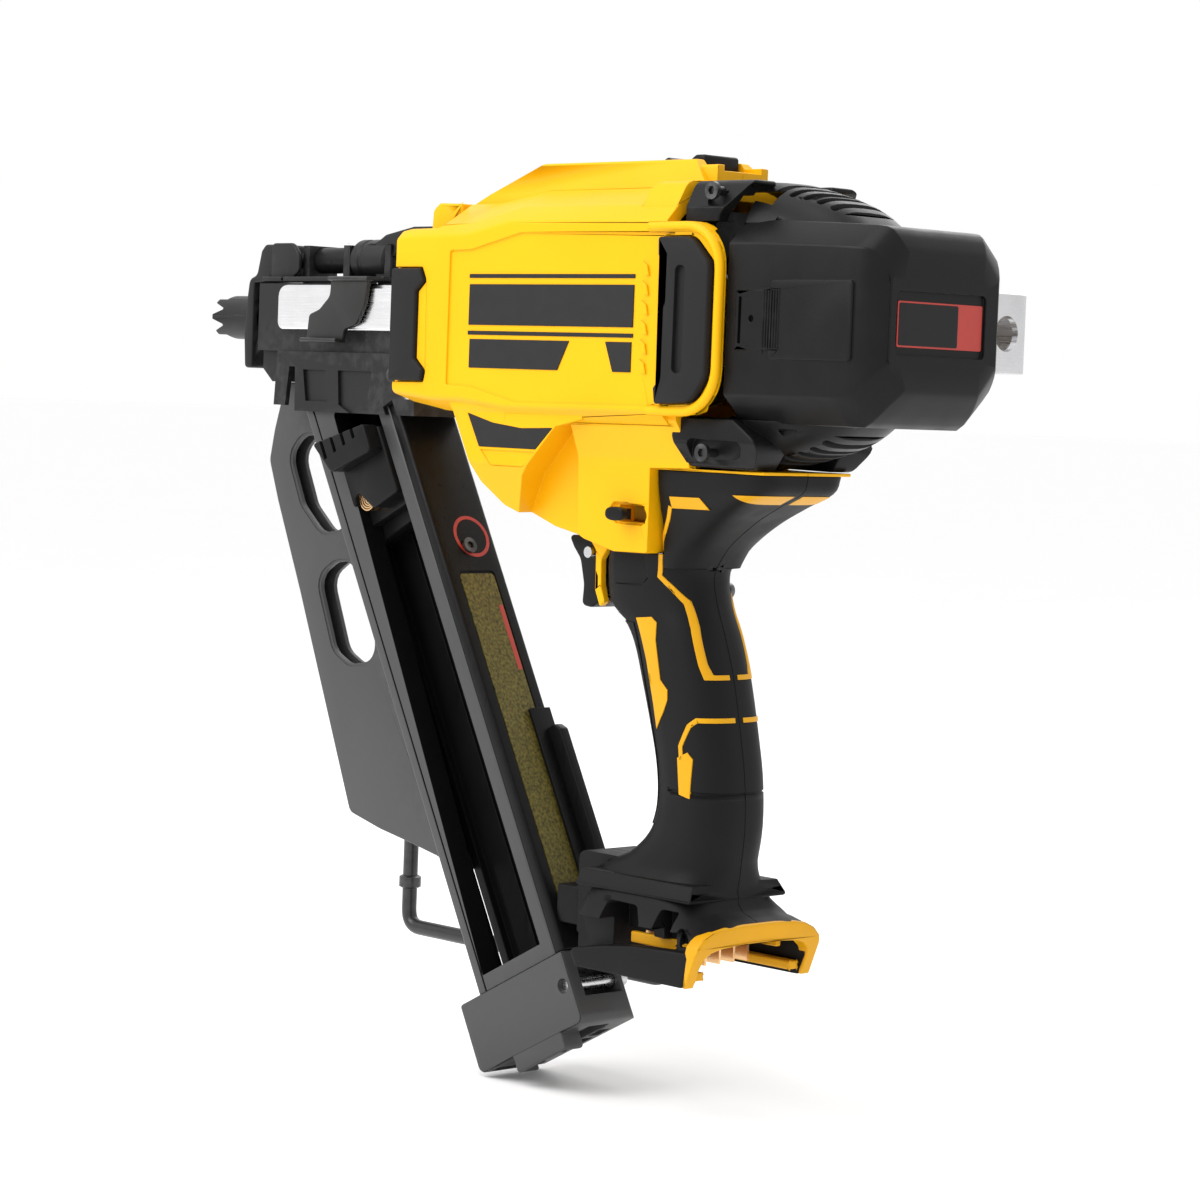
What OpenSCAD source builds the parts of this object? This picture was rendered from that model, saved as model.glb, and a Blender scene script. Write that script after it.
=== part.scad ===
// Cordless framing nailer for strips of 90 mm nails, without its battery.
// Origin: front face of the nose, on the drive axis. +X runs back along the
// drive axis to the rear cap, +Z is up and -Y is the tool's left side.

/* [Magazine] */
// Lean of the magazine back from square to the drive axis, in degrees
mag_tilt = 28; // [27:0.5:29]
// Nail length that the nose and the magazine are made for
nail_len = 90; // [88:1:91]
// Half width of the magazine channel
mag_half = 14; // [13.5:0.5:14]
// Front edge of the channel, measured square to the magazine's lean
channel_front = 20.5; // [20:0.5:20.5]
// Rear edge of the channel, measured the same way
channel_rear = 66; // [65.5:0.5:66.5]
// Distance along the magazine to its lower end
mag_end = 290; // [288:1:292]
// How far the pusher travels along the magazine
pusher_travel = 160; // [140:5:160]

/* [Nose] */
// Radius of the bore that the nail leaves through
exit_r = 4.2; // [4.1:0.1:4.3]
// Half width of the slot that the nail strip rises through
slot_half = 4.4; // [4.3:0.1:4.5]
// Height of the depth adjuster above the drive axis
adjust_z = 22.5; // [22:0.5:23]
// Radius of the depth wheel
wheel_r = 8.5; // [8:0.1:8.8]
// Stroke of the contact trip
trip_stroke = 8; // [6:0.5:8]

/* [Housing] */
// Half width of the yellow housing
body_half = 36; // [35:0.5:37]
// Wall thickness of the moulded shells
wall = 3; // [2.5:0.25:3]
// Front face of the yellow housing
body_front = 112; // [112:0.5:113]
// Half width of the rear cap at its widest
cap_half = 33; // [32:0.5:34]
// Rear face of the cap
cap_rear = 351; // [348:1:352]

/* [Drive] */
// Radius of the flywheel
flywheel_r = 24; // [22:0.5:24]
// Radius of each guide rod
rod_r = 2.5; // [2.4:0.1:2.6]
// Sideways distance of each guide rod from the drive axis
rod_y = 11; // [10.5:0.5:11]
// Stroke of the driver
driver_stroke = 98; // [90:1:98]

/* [Handle] */
// Half width of the grip
grip_half = 17; // [16:0.5:18]
// Half width of the battery foot
foot_half = 31; // [30.5:0.5:32]
// Underside of the battery foot
foot_bottom = -224; // [-225:0.5:-223]

/* [Hooks] */
// Radius of the rafter hook's wire
wire_r = 3; // [2.8:0.1:3.2]
// Radius of the hanging hole in the belt hook
hang_r = 4.2; // [4:0.1:4.5]

/* [Hidden] */
$fn = 48;
eps = 0.01;
gap = 0.3;
yellow = [1.0, 0.80, 0.05];
black = [0.13, 0.13, 0.13];
dark = [0.20, 0.20, 0.20];
grey = [0.36, 0.36, 0.36];
steel = [0.75, 0.75, 0.76];
// Place of the flywheel's axis, under the driver
wheel_x = 190;
wheel_z = -31;
shaft_r = 4;
// Front face of the driver's wings at rest
wing_front = 231;
// Place of the pinch roller and of its arm's pivot, above the driver
roller_x = 197;
roller_z = 15.3;
roller_r = 8;
arm_x = 222;
arm_z = 20;
arm_pin_r = 2.5;
// Place of the trigger's pivot
trigger_x = 203;
trigger_z = -81;
trigger_pin_r = 2;
// Upright axis of the rafter hook
hook_x = 205;
hook_y = 32;
hook_low = -237;
hook_reach = 143;
// Lowest and rearmost stretch of the nails' path behind the nose face
feed_rear = nail_len + 10;
lower_mouth = -25;
// Rear face of the nose's castings, against the flange
nose_rear = body_front - 3.1;

// ---- building blocks ----

// Prism of a side view outline (X, Z), from y0 to y1
module side_prism(points, y0, y1) {
  translate([0, y1, 0])
    rotate([90, 0, 0])
      linear_extrude(y1 - y0)
        polygon(points);
}

// Prism of a front view outline (Y, Z), from x0 to x1
module front_prism(points, x0, x1) {
  translate([x0, 0, 0])
    rotate([90, 0, 90])
      linear_extrude(x1 - x0)
        polygon(points);
}

// Prism of a side view outline, moved inwards by inset
module side_prism_in(points, inset, y0, y1) {
  translate([0, y1, 0])
    rotate([90, 0, 0])
      linear_extrude(y1 - y0)
        offset(delta = -inset)
          polygon(points);
}

// Prism of a front view outline, moved inwards by inset
module front_prism_in(points, inset, x0, x1) {
  translate([x0, 0, 0])
    rotate([90, 0, 90])
      linear_extrude(x1 - x0)
        offset(delta = -inset)
          polygon(points);
}

// Box between two corners
module span(low, high) {
  translate(low)
    cube(high - low);
}

// Round bar between x0 and x1 at (y, z)
module bar_x(r, x0, x1, y, z) {
  translate([x0, y, z])
    rotate([0, 90, 0])
      cylinder(r = r, h = x1 - x0);
}

// Round bar between y0 and y1 at (x, z)
module bar_y(r, y0, y1, x, z) {
  translate([x, y1, z])
    rotate([90, 0, 0])
      cylinder(r = r, h = y1 - y0);
}

// Round bar between z0 and z1 at (x, y)
module bar_z(r, z0, z1, x, y) {
  translate([x, y, z0])
    cylinder(r = r, h = z1 - z0);
}

// The magazine's own frame: X runs back from the nails' points to their
// heads, Z runs up along the magazine
module in_magazine() {
  rotate([0, -mag_tilt, 0])
    children();
}

// Box in the magazine's frame between distances u0 and u1 down the magazine
module mag_span(r0, r1, y0, y1, u0, u1) {
  in_magazine()
    span([r0, y0, -u1], [r1, y1, -u0]);
}

// Everything above, or below, the plane that parts the nose and the magazine
module below_nose() {
  intersection() {
    children();
    span([-50, -60, -400], [300, 60, lower_mouth]);
  }
}

// Helical spring along +X from the origin
function coil_point(t, r, length, turns) =
  [length * t, r * cos(360 * turns * t), r * sin(360 * turns * t)];
module coil_spring(r, wire, length, turns) {
  steps = 14 * turns;
  sides = 6;
  points = [for (i = [0 : steps])
    let (t = i / steps,
         c = coil_point(t, r, length, turns),
         a = 360 * turns * t)
      for (k = [0 : sides - 1])
        let (b = 360 * k / sides)
          c + wire * [sin(b), cos(b) * cos(a), cos(b) * sin(a)]];
  walls = [for (i = [0 : steps - 1])
    for (k = [0 : sides - 1])
      [i * sides + k,
       (i + 1) * sides + k,
       (i + 1) * sides + (k + 1) % sides,
       i * sides + (k + 1) % sides]];
  first = [for (k = [0 : sides - 1]) k];
  last = [for (k = [sides - 1 : -1 : 0]) steps * sides + k];
  polyhedron(points, concat(walls, [first], [last]), convexity = 8);
}

// Cap screw with a hexagon socket, head towards +Z, head's underside at z = 0
module cap_screw(r, length, head_r, head_h) {
  difference() {
    union() {
      translate([0, 0, -length])
        cylinder(r = r, h = length + eps);
      cylinder(r = head_r, h = head_h);
    }
    translate([0, 0, head_h * 0.4])
      cylinder(r = head_r * 0.5, h = head_h, $fn = 6);
  }
}

// ---- yellow housing ----

// Side view of the drive housing, with the motor's belly below it
housing_side = [[body_front, -28], [body_front, 28], [119, 30], [124, 41],
  [157, 41.5], [200, 41.5], [262, 41.5], [284, 30], [284, -30], [262, -42],
  [262, -49], [243, -50], [240, -79], [222, -79], [208, -76], [190, -73],
  [176, -70], [166, -65], [157, -57], [150, -44], [128, -38], [118, -29]];
// Front view of the drive housing
housing_front = [[-body_half, -28], [-body_half, 28], [-27, 42], [27, 42],
  [body_half, 28], [body_half, -28], [28, -44], [24, -80], [-24, -80], [-28, -44]];
// Top view of the drive housing, with its narrower front
housing_top = [[body_front, -25], [body_front + 7, -body_half], [300, -body_half],
  [300, body_half], [body_front + 7, body_half], [body_front, 25]];
// Side view of the ridge along the top
ridge_side = [[140, 36], [140, 41.5], [172, 56], [256, 56], [262, 42], [262, 36]];
ridge_front = [[-17, 36], [-13, 56], [13, 56], [17, 36]];

// The housing's form, moved inwards by inset
module housing_form(inset) {
  intersection() {
    side_prism_in(housing_side, inset, -50, 50);
    front_prism_in(housing_front, inset, 100, 300);
    translate([0, 0, -100])
      linear_extrude(200)
        offset(delta = -inset)
          polygon(housing_top);
  }
  intersection() {
    side_prism_in(ridge_side, inset, -30, 30);
    front_prism_in(ridge_front, inset, 130, 265);
  }
}

module housing_shell() {
  difference() {
    union() {
      housing_form(0);
      // blocks on the front of the roof
      for (side = [-1, 1])
        span([114, min(side * 8, side * 21), 28], [128, max(side * 8, side * 21), 43.5]);
      // bed of the stall release lever
      span([220, -12, 44], [258, 12, 53]);
    }
    housing_form(wall);
    // mouth for the drive, through the front wall
    span([100, -17, -15], [116, 17, 15]);
    // open rear, which the motor cover closes
    span([262 - wall, -34, -27], [290, 34, 27]);
    span([255, -23, -40], [290, 23, 39]);
    // seats of the bumpers
    for (side = [-1, 1]) {
      span([118, side * body_half - 1.5, -24], [137, side * body_half + 1.5, 19]);
      span([256, side * body_half - 1.5, -27.5], [279, side * body_half + 1.5, 27.5]);
      // long shallow panel between them
      span([150, side * body_half - 1, -23], [249, side * body_half + 1, 26]);
    }
    // gate of the selector switch
    span([226, -30, -69], [240, -15, -63]);
    // recess and slot of the stall release lever
    span([222, -9, 52], [258, 9, 60]);
    span([226, -4, 40], [252, 4, 60]);
    // space of the trigger and of the switch behind it
    span([183, -10.5, -82], [211, 10.5, -66]);
    span([205, -12, -82], [238, 12, -70]);
    // handle's neck
    span([244, -19, -60], [262, 19, -46]);
    screw_bores(housing_screw_places);
  }
}

// Bores of screws that go in from the right, with room for their heads
module screw_bores(places) {
  for (p = places) {
    bar_y(1.6, -13, 20, p[0], p[1]);
    bar_y(2.9, 12, 60, p[0], p[1]);
  }
}

// Places of the housing's screws (X, Z)
housing_screw_places = [[147, 33], [147, -33], [180, 36], [246, -34]];

// Bosses that the screws draw together
module housing_bosses() {
  difference() {
    for (p = housing_screw_places)
      bar_y(4.5, -29, 29, p[0], p[1]);
    screw_bores(housing_screw_places);
  }
}

module housing_half(side) {
  color(yellow)
    intersection() {
      union() {
        housing_shell();
        housing_bosses();
      }
      if (side < 0) span([90, -60, -100], [300, -eps, 80]);
      else span([90, eps, -100], [300, 60, 80]);
    }
}

module housing_left() {
  housing_half(-1);
}

module housing_right() {
  housing_half(1);
}

// Rubber pad on the front corner of one side
module front_bumper(side) {
  color(black)
    side_prism([[118, -24], [118, 19], [134, 19], [137, 14], [131, 9], [131, -14],
      [137, -19], [134, -24]],
      side < 0 ? -body_half - 3 : body_half - 1.5,
      side < 0 ? -body_half + 1.5 : body_half + 3);
}

module front_bumper_left() {
  front_bumper(-1);
}

module front_bumper_right() {
  front_bumper(1);
}

// Rubber pad on the rear corner of one side, with its upright groove
module rear_bumper(side) {
  outer = side * (body_half + 3);
  color(black)
    difference() {
      side_prism([[256, -27.5], [256, -20], [259, -16], [259, 16], [256, 20], [256, 27.5],
        [272, 27.5], [279, 21], [279, -21], [272, -27.5]],
        min(outer, side * (body_half - 1.5)), max(outer, side * (body_half - 1.5)));
      span([266, outer - 1, -18], [270, outer + 1, 18]);
    }
}

module rear_bumper_left() {
  rear_bumper(-1);
}

module rear_bumper_right() {
  rear_bumper(1);
}

// ---- black motor cover and cap ----

// Rear outline of the cover's flanges and dome, seen from above and behind
dome_side = [[262, -49], [262, 49], [276, 49], [295, 45.5], [311, 41], [320, 34.5],
  [326, 30], [326, -30], [320, -34.5], [309, -41], [295, -46], [276, -49]];
dome_front = [[-29, -30], [-29, 30], [-22, 45], [-14, 49.5], [14, 49.5], [22, 45],
  [29, 30], [29, -30], [22, -45], [14, -49.5], [-14, -49.5], [-22, -45]];

module motor_cover() {
  color(black)
    difference() {
      union() {
        intersection() {
          side_prism(dome_side, -40, 40);
          front_prism(dome_front, 255, 340);
        }
        // ears that the cover screws hold
        for (side = [-1, 1], up = [-1, 1])
          span([264, min(side * 20, side * 31), min(up * 36, up * 46)],
            [283, max(side * 20, side * 31), max(up * 36, up * 46)]);
      }
      intersection() {
        side_prism_in(dome_side, wall, -40, 40);
        front_prism_in(dome_front, wall, 255, 340);
      }
      // seat over the yellow housing's rear
      difference() {
        span([250, -40, -42.5], [284 + gap / 3, 40, 42.5]);
        span([284, -22, -44], [300, 22, 44]);
      }
      span([255, -22, -41], [290, 22, 41]);
      // vents in the roof and in the floor
      for (i = [0 : 3]) {
        span([292 + 6 * i, -13, 37], [295 + 6 * i, 13, 60]);
        span([292 + 6 * i, -13, -60], [295 + 6 * i, 13, -37]);
      }
      // screw holes
      for (up = [-1, 1])
        bar_y(1.6, -40, 40, 275, up * 43.5);
    }
}

cap_front = [[-cap_half, -22], [-cap_half, 20], [-cap_half + 9, 32], [cap_half - 9, 32],
  [cap_half, 20], [cap_half, -22], [cap_half - 10, -33], [-cap_half + 10, -33]];
cap_side = [[284.5, -33], [284.5, 34], [300, 34], [cap_rear - 5, 29], [cap_rear, 24],
  [cap_rear, -23], [cap_rear - 10, -33]];
cap_top = [[284.5, -cap_half], [284.5, cap_half], [cap_rear - 12, cap_half - 1],
  [cap_rear, cap_half - 6], [cap_rear, -cap_half + 6], [cap_rear - 12, -cap_half + 1]];

module cap_form(inset) {
  intersection() {
    side_prism_in(cap_side, inset, -60, 60);
    front_prism_in(cap_front, inset, 280, 360);
    translate([0, 0, -60])
      linear_extrude(120)
        offset(delta = -inset)
          polygon(cap_top);
  }
}

module rear_cap() {
  color(black)
    difference() {
      union() {
        cap_form(0);
        // raised badge panels on both sides and the slotted plates beside them
        for (side = [-1, 1]) {
          outer = side * (cap_half + 0.8);
          span([306, min(outer, side * 30), -13], [338, max(outer, side * 30), 15]);
          span([291, min(outer, side * 30), -10], [303, max(outer, side * 30), 9]);
        }
      }
      cap_form(wall);
      span([280, -cap_half + wall, -22], [290, cap_half - wall, 22]);
      span([280, -23, -30], [290, 23, 30]);
      // room for the dome inside
      intersection() {
        side_prism_in(dome_side, -0.2, -40, 40);
        front_prism_in(dome_front, -0.2, 280, 340);
      }
      // recess of the rear label
      span([cap_rear - 1, -24, -15], [cap_rear + 1, 22, 13]);
      for (side = [-1, 1])
        span([293, side * cap_half - 1.5, -8], [294.2, side * cap_half + 1.5, 7]);
    }
}

// ---- handle ----

// Side view of the grip, from the top plate down to the foot
grip_side = [[243.3, -50.3], [294, -50.3], [294, -55], [283, -60], [270, -67], [259, -75],
  [252, -83], [253, -95], [259, -108.5], [263.5, -122], [268, -142], [270.5, -156],
  [271.4, -173], [270, -188], [269, -197], [275, -201], [277, -204], [277, -207],
  [214, -207], [214, -188], [227, -184.5], [235.5, -175.5], [239, -163],
  [237.5, -151], [233, -137], [228.5, -124], [224, -111], [218.5, -101], [209, -98],
  [207, -84], [222, -79.5], [240.5, -79.5]];
grip_front = [[-grip_half, -80], [-22, -52], [-22, -40], [22, -40], [22, -52],
  [grip_half, -80], [grip_half, -188], [24, -198], [foot_half, -206],
  [foot_half, -230], [-foot_half, -230], [-foot_half, -206], [-24, -198],
  [-grip_half, -188]];
// Side view of the battery foot's cheeks
foot_side = [[216, -207], [274, -207], [272, foot_bottom], [222, foot_bottom], [216, -216]];

module grip_form(inset) {
  intersection() {
    side_prism_in(grip_side, inset, -60, 60);
    front_prism_in(grip_front, inset, 180, 320);
  }
}

module handle_shell() {
  difference() {
    union() {
      grip_form(0);
      // battery foot: two cheeks, a roof and a front wall
      side_prism(foot_side, -foot_half, foot_half);
      // arm that reaches forward to the magazine
      span([203, -13, -216], [224, 13, -190]);
    }
    grip_form(wall);
    // battery slides in from behind
    span([232, -26, foot_bottom - 1], [290, 26, -210]);
    // open top of the neck
    span([247, -16, -58], [262, 16, -48]);
    // room for the trigger and the switch
    span([200, -10.5, -104], [212, 10.5, -78]);
    span([206, -13, -101], [238, 13, -76]);
    // window of the lamp
    bar_x(4.2, 200, 225, 0, -197);
    // seats of the grip pad and of the accents
    side_prism(pad_outline, -30, 30);
    screw_bores(handle_screw_places);
  }
  // bosses that the screws draw together
  difference() {
    for (p = handle_screw_places)
      bar_y(4.5, -grip_half + 1, grip_half - 1, p[0], p[1]);
    screw_bores(handle_screw_places);
  }
}

handle_screw_places = [[246, -92], [252, -178]];
// Ribbed rubber on the front of the grip
pad_outline = [[212, -104], [220, -126], [228, -150], [230, -173], [241, -175],
  [243.5, -163], [242, -150], [237.5, -136], [233, -122], [228, -109.5], [223, -102.5]];

module handle_half(side) {
  color(dark)
    intersection() {
      handle_shell();
      if (side < 0) span([180, -60, -240], [320, -eps, -30]);
      else span([180, eps, -240], [320, 60, -30]);
    }
}

module handle_left() {
  handle_half(-1);
}

module handle_right() {
  handle_half(1);
}

module grip_pad() {
  color(black)
    difference() {
      intersection() {
        side_prism_in(pad_outline, 0.05, -grip_half, grip_half);
        side_prism_in(grip_side, 0, -60, 60);
      }
      // ribs across the finger side
      for (i = [0 : 9]) {
        along = i / 10;
        translate([225 + 13.5 * along, 0, -114 - 46 * along])
          rotate([90, 0, 0])
            cylinder(r = 1, h = 60, center = true, $fn = 16);
      }
    }
}

// Yellow inlays along both sides of the handle
module handle_accents() {
  color(yellow)
    for (side = [-1, 1]) {
      inner = side * grip_half;
      outer = side * (grip_half + 0.6);
      for (shape = accent_outlines)
        side_prism(shape, min(inner, outer), max(inner, outer));
    }
}

accent_outlines = [
  [[231.5, -105], [235.5, -105], [240, -121], [243.5, -134], [243.5, -141], [240.5, -148],
    [239, -142]],
  [[245.5, -150], [251, -144.5], [266, -144.5], [266, -146.5], [252, -146.5],
    [248.5, -152], [248.5, -168], [245, -168]],
  [[238, -84], [240, -84], [240.5, -93], [247.5, -104], [251, -127], [262, -127],
    [262, -129], [249.5, -129], [245.5, -105], [238.5, -94]]];

module battery_dock() {
  color(yellow)
    difference() {
      union() {
        // arched rim at the mouth
        front_prism([[-foot_half, foot_bottom], [-foot_half, -208], [-28, -203], [28, -203],
          [foot_half, -208], [foot_half, foot_bottom]], 274.1, 281);
        // lips that hold the battery's rails
        for (side = [-1, 1])
          span([232.1, min(side * 21, side * 25.9), foot_bottom + 2],
            [276, max(side * 21, side * 25.9), foot_bottom + 5]);
      }
      front_prism([[-26, -230], [-26, -215], [-20, -210], [20, -210], [26, -215], [26, -230]],
        274, 290);
      // kept clear of the handle's rear edge
      span([270, -60, -207], [277.1, 60, -180]);
      // rim slopes forward at its foot
      side_prism([[282, -209], [276, foot_bottom - 0.1], [290, foot_bottom - 0.1],
        [290, -209]], -60, 60);
    }
}

module battery_terminals() {
  color([0.85, 0.62, 0.3]) {
    for (i = [-2 : 2])
      span([240, i * 7 - 0.5, -220], [262, i * 7 + 0.5, -210]);
  }
}

module led_lens() {
  color([0.95, 0.97, 1])
    translate([211, 0, -197])
      rotate([0, 90, 0])
        cylinder(r = 4, h = 6);
}

module stall_lever() {
  color(black)
    union() {
      // pad in the roof's recess, with its two thumb ridges
      span([223, -8.5, 52 + gap], [248, 8.5, 55.5]);
      side_prism([[225, 55], [229, 57.5], [233, 55]], -7.5, 7.5);
      side_prism([[240, 55], [243, 58], [248, 58], [248, 55]], -8.5, 8.5);
      // stem through the slot
      span([228, -3.5, 41], [240, 3.5, 53]);
      span([228, -6, 39.5], [240, 6, 41.5]);
    }
}

module selector_switch() {
  color(black) {
    span([228.5, -27, -68], [235, -24.4, -64]);
    span([227, -30, -68.5], [236, -26.5, -63.5]);
  }
}

// ---- nose ----

module nose_flange() {
  color(steel)
    difference() {
      front_prism([[-24, -27], [-24, 27], [-21, 30], [21, 30], [24, 27], [24, -27],
        [21, -30], [-21, -30]], nose_rear + 0.1, body_front);
      span([100, -16.2, -14.2], [120, 16.2, 14.2]);
      for (side = [-1, 1], up = [-1, 1])
        bar_x(2.1, 100, 120, side * 19, up * 23);
    }
}

module nose_body() {
  color(grey)
    difference() {
      union() {
        // drive channel
        span([12, -14, -13], [body_front - 0.1, 14, 13]);
        // turned tip that the trip slides over
        bar_x(6, 0, 13, 0, 0);
        // cheeks beside the rising nails
        side_prism([[12, -12], [12, -20], [18, lower_mouth], [nose_rear, lower_mouth],
          [nose_rear, -12]], -11, 11);
        // ears of the depth wheel
        for (x = [30, 54.3])
          side_prism([[x, 12], [x, 28], [x + 3.7, 28], [x + 3.7, 12]], -7, 7);
        // rear wall of the trip spring's tube
        span([78.6, -7, 12], [82, 7, 28]);
      }
      bar_x(exit_r, -1, 18, 0, 0);
      // path of the nail and of the driver
      span([16, -slot_half, -slot_half], [120, slot_half, slot_half]);
      span([84, -5.6, -7], [120, 5.6, 7]);
      span([13, -slot_half, -40], [feed_rear, slot_half, 0]);
      // journals of the depth wheel
      bar_x(5.05, 20, 60, 0, adjust_z);
      // pockets in the cheeks
      for (side = [-1, 1], x = [50, 70])
        span([x, side * 9.5 - 2, -23], [x + 14, side * 9.5 + 2, -15]);
    }
}

module nose_plate() {
  color(steel)
    difference() {
      side_prism([[28, -1], [28, 8], [32, 12.5], [108, 12.5], [108, -5], [32, -5]],
        -18, -14.1);
      // bevel along the top edge
      translate([0, -18, 12.5])
        rotate([45, 0, 0])
          span([0, -1.4, -1.4], [120, 1.4, 1.4]);
      for (x = [36, 102])
        bar_y(1.6, -30, 0, x, 3);
    }
}

module trip_spring_tube() {
  color(dark)
    difference() {
      union() {
        bar_x(8, 58.3, 78.5, 0, adjust_z);
        // brace back to the flange
        side_prism([[69, 27], [77, 32], [93, 35], [nose_rear, 35], [nose_rear, 29], [95, 29],
          [82.5, 24], [82.5, 13.2], [73, 13.2]], -6, 6);
      }
      bar_x(6.4, 57, 78.6, 0, adjust_z);
      span([78.5, -7.1, 12], [82.1, 7.1, 28.1]);
    }
}

// Sleeve with the teeth that bite the work
module trip_claws() {
  difference() {
    bar_x(8.6, -25, 3.5, 0, 0);
    bar_x(6.3, -30, 10, 0, 0);
    // notches between the teeth, cut through from side to side
    for (z = [-3.2, 3.2])
      side_prism([[-26, z - 2.4], [-26, z + 2.4], [-19, z]], -20, 20);
    side_prism([[-26, 7.2], [-26, 12], [-17, 12], [-20, 7.2]], -20, 20);
    side_prism([[-26, -7.2], [-26, -12], [-14, -12], [-20, -7.2]], -20, 20);
  }
}

module contact_trip() {
  color(dark)
    union() {
      trip_claws();
      // front plate, down beside the nose and up to the adjuster
      difference() {
        side_prism([[-1, -20], [-2, -7], [-1, 4], [-0.5, 9], [0.5, 15], [5, 16.5], [7.5, 26],
          [10, 28.5], [15, 28.5], [15, 15.6], [10, 13.6], [3.8, 13.4], [3.5, 8], [3.5, -20]],
          -10.5, 10.5);
        bar_x(6.3, -30, 30, 0, 0);
      }
      // block that the rod stands in, and the rounded plate beside it
      span([12, -8, 15.5], [21, 8, 28.5]);
      bar_y(6.5, -10.5, -9, 25, adjust_z);
      span([14, -10.5, 13.6], [25, -9, adjust_z + 6.5]);
      // stub of the adjusting rod, the rod and its collar
      bar_x(3, 0, 10, 0, adjust_z);
      bar_x(3, 20, 62, 0, adjust_z);
      bar_x(5.6, 60, 63, 0, adjust_z);
      // bar along the nose to the link
      span([12, -13.5, 13.6], [26, -9, 15.9]);
      span([24, -13.5, 13.6], [86, -8.5, 15.9]);
    }
}

module trip_link() {
  color(dark)
    union() {
      // top flange
      span([63, -22, 13.6], [86, -13.6, 15.6]);
      // S shaped web, outside the bright plate
      side_prism([[63.5, 14.5], [63, 8], [57, 3], [51, 1], [49.5, -8], [71, -8], [72, -4.5],
        [79, -2.5], [83.5, 5], [85.5, 14.5]], -20.6, -18.4);
      // bottom flange
      span([49.5, -24, -9.6], [71, -18.4, -7.8]);
    }
}

module trip_spring() {
  color(steel)
    translate([63.6, 0, adjust_z])
      coil_spring(5, 0.6, 14.2, 5);
}

module depth_wheel() {
  color(dark)
    difference() {
      union() {
        bar_x(wheel_r, 34, 54, 0, adjust_z);
        bar_x(5, 30.2, 57.8, 0, adjust_z);
      }
      bar_x(3.3, 20, 60, 0, adjust_z);
      // finger grooves
      for (i = [0 : 15])
        translate([0, 0, adjust_z])
          rotate([22.5 * i, 0, 0])
            bar_x(0.9, 35.5, 52.5, 0, wheel_r);
    }
}

// ---- magazine ----

// Grey guide that the nails' shanks run in, with two windows
guide_side = [[18, lower_mouth], [12, -44], [9.5, -56], [15.5, -71.5], [31, -106],
  [66, -189.5], [84, -193.8], [102, -197], [117, -200], [140, -206], [140, lower_mouth]];
guide_slot = [[22, -20], [14.7, -44], [12.3, -56], [18.1, -71.5], [33.6, -106],
  [67.8, -187], [84, -191], [102, -194.2], [140, -201], [140, -20]];
window_upper = [[22, -53.5], [29.5, -46], [40, -44.5], [45, -47], [57.5, -75.5],
  [55.5, -81], [43.5, -83], [31, -72.5]];
window_lower = [[42, -100.5], [52, -94], [62, -92.5], [78, -124], [75, -130.5],
  [63, -132.5], [53.5, -128]];

module nail_guide() {
  color(grey)
    intersection() {
      difference() {
        side_prism(guide_side, -4.6, 4.6);
        // slot that the shanks run in, open to the channel
        side_prism(guide_slot, -2.4, 2.4);
        side_prism(window_upper, -20, 20);
        side_prism(window_lower, -20, 20);
      }
      in_magazine()
        span([-80, -10, -300], [channel_front - eps, 10, 60]);
    }
}

// Casting that joins the nose and the magazine
module magazine_head() {
  outer = mag_half + 2;
  color(dark)
    difference() {
      side_prism([[27, -13.1], [25.5, -34], [32.5, -34], [34.5, -19], [38, -19], [38.5, -36],
        [nose_rear, -36], [nose_rear, -13.1]], -outer, outer);
      // room for the nose and for the magazine's top
      span([0, -11.05, lower_mouth], [120, 11.05, 0]);
      intersection() {
        mag_span(-60, channel_rear + 0.05, -mag_half - 0.05, mag_half + 0.05, -60, 200);
        span([-50, -60, -400], [300, 60, lower_mouth]);
      }
      mag_span(channel_rear - 1, channel_rear + 4.8, -outer - 1, outer + 1, 72, 200);
      // pockets
      for (side = [-1, 1]) {
        side_prism([[43, -20], [45, -32], [58, -32], [56, -20]],
          side * outer - 1.2, side * outer + 1.2);
        side_prism([[64, -20], [65, -33], [80, -40], [84, -20]],
          side * outer - 1.2, side * outer + 1.2);
        bar_y(1.6, -30, 30, 97, -21);
      }
    }
}

module magazine_channel() {
  front = channel_front;
  rear = channel_rear;
  color(dark)
    below_nose()
      difference() {
        mag_span(front, rear, -mag_half, mag_half, 0, mag_end);
        // inner space of the nails' heads
        mag_span(front - 1, rear - 4, -5, 5, -5, mag_end + 1);
        // open left side that the pusher's tab runs in
        mag_span(front + 5, rear - 7, -mag_half - 1, -4, 60, mag_end - 6);
        // pocket on the right side
        mag_span(front + 5, rear - 7, 9, mag_half + 1, 60, mag_end - 6);
        // grooves along the inner wall
        for (y = [-1, 1])
          mag_span(rear - 5, rear - 2.5, y * 2.5 - 0.8, y * 2.5 + 0.8, 0, mag_end + 1);
        cover_screw_bores();
      }
}

// Bores of the two screws that hold the rear cover
module cover_screw_bores() {
  in_magazine()
    for (u = [132, 285])
      translate([channel_rear - 5, 0, -u])
        rotate([0, 90, 0])
          cylinder(r = 1.6, h = 14);
}

module magazine_cover() {
  color(dark)
    difference() {
      mag_span(channel_rear, channel_rear + 4.5, -mag_half, mag_half, 72.1, mag_end);
      mag_span(channel_rear + 3.7, channel_rear + 6, -9, 9, 142, 278);
      cover_screw_bores();
    }
}

module magazine_label() {
  color([0.55, 0.5, 0.25])
    mag_span(channel_rear + 3.7, channel_rear + 4.3, -8.5, 8.5, 143, 277);
}

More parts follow.
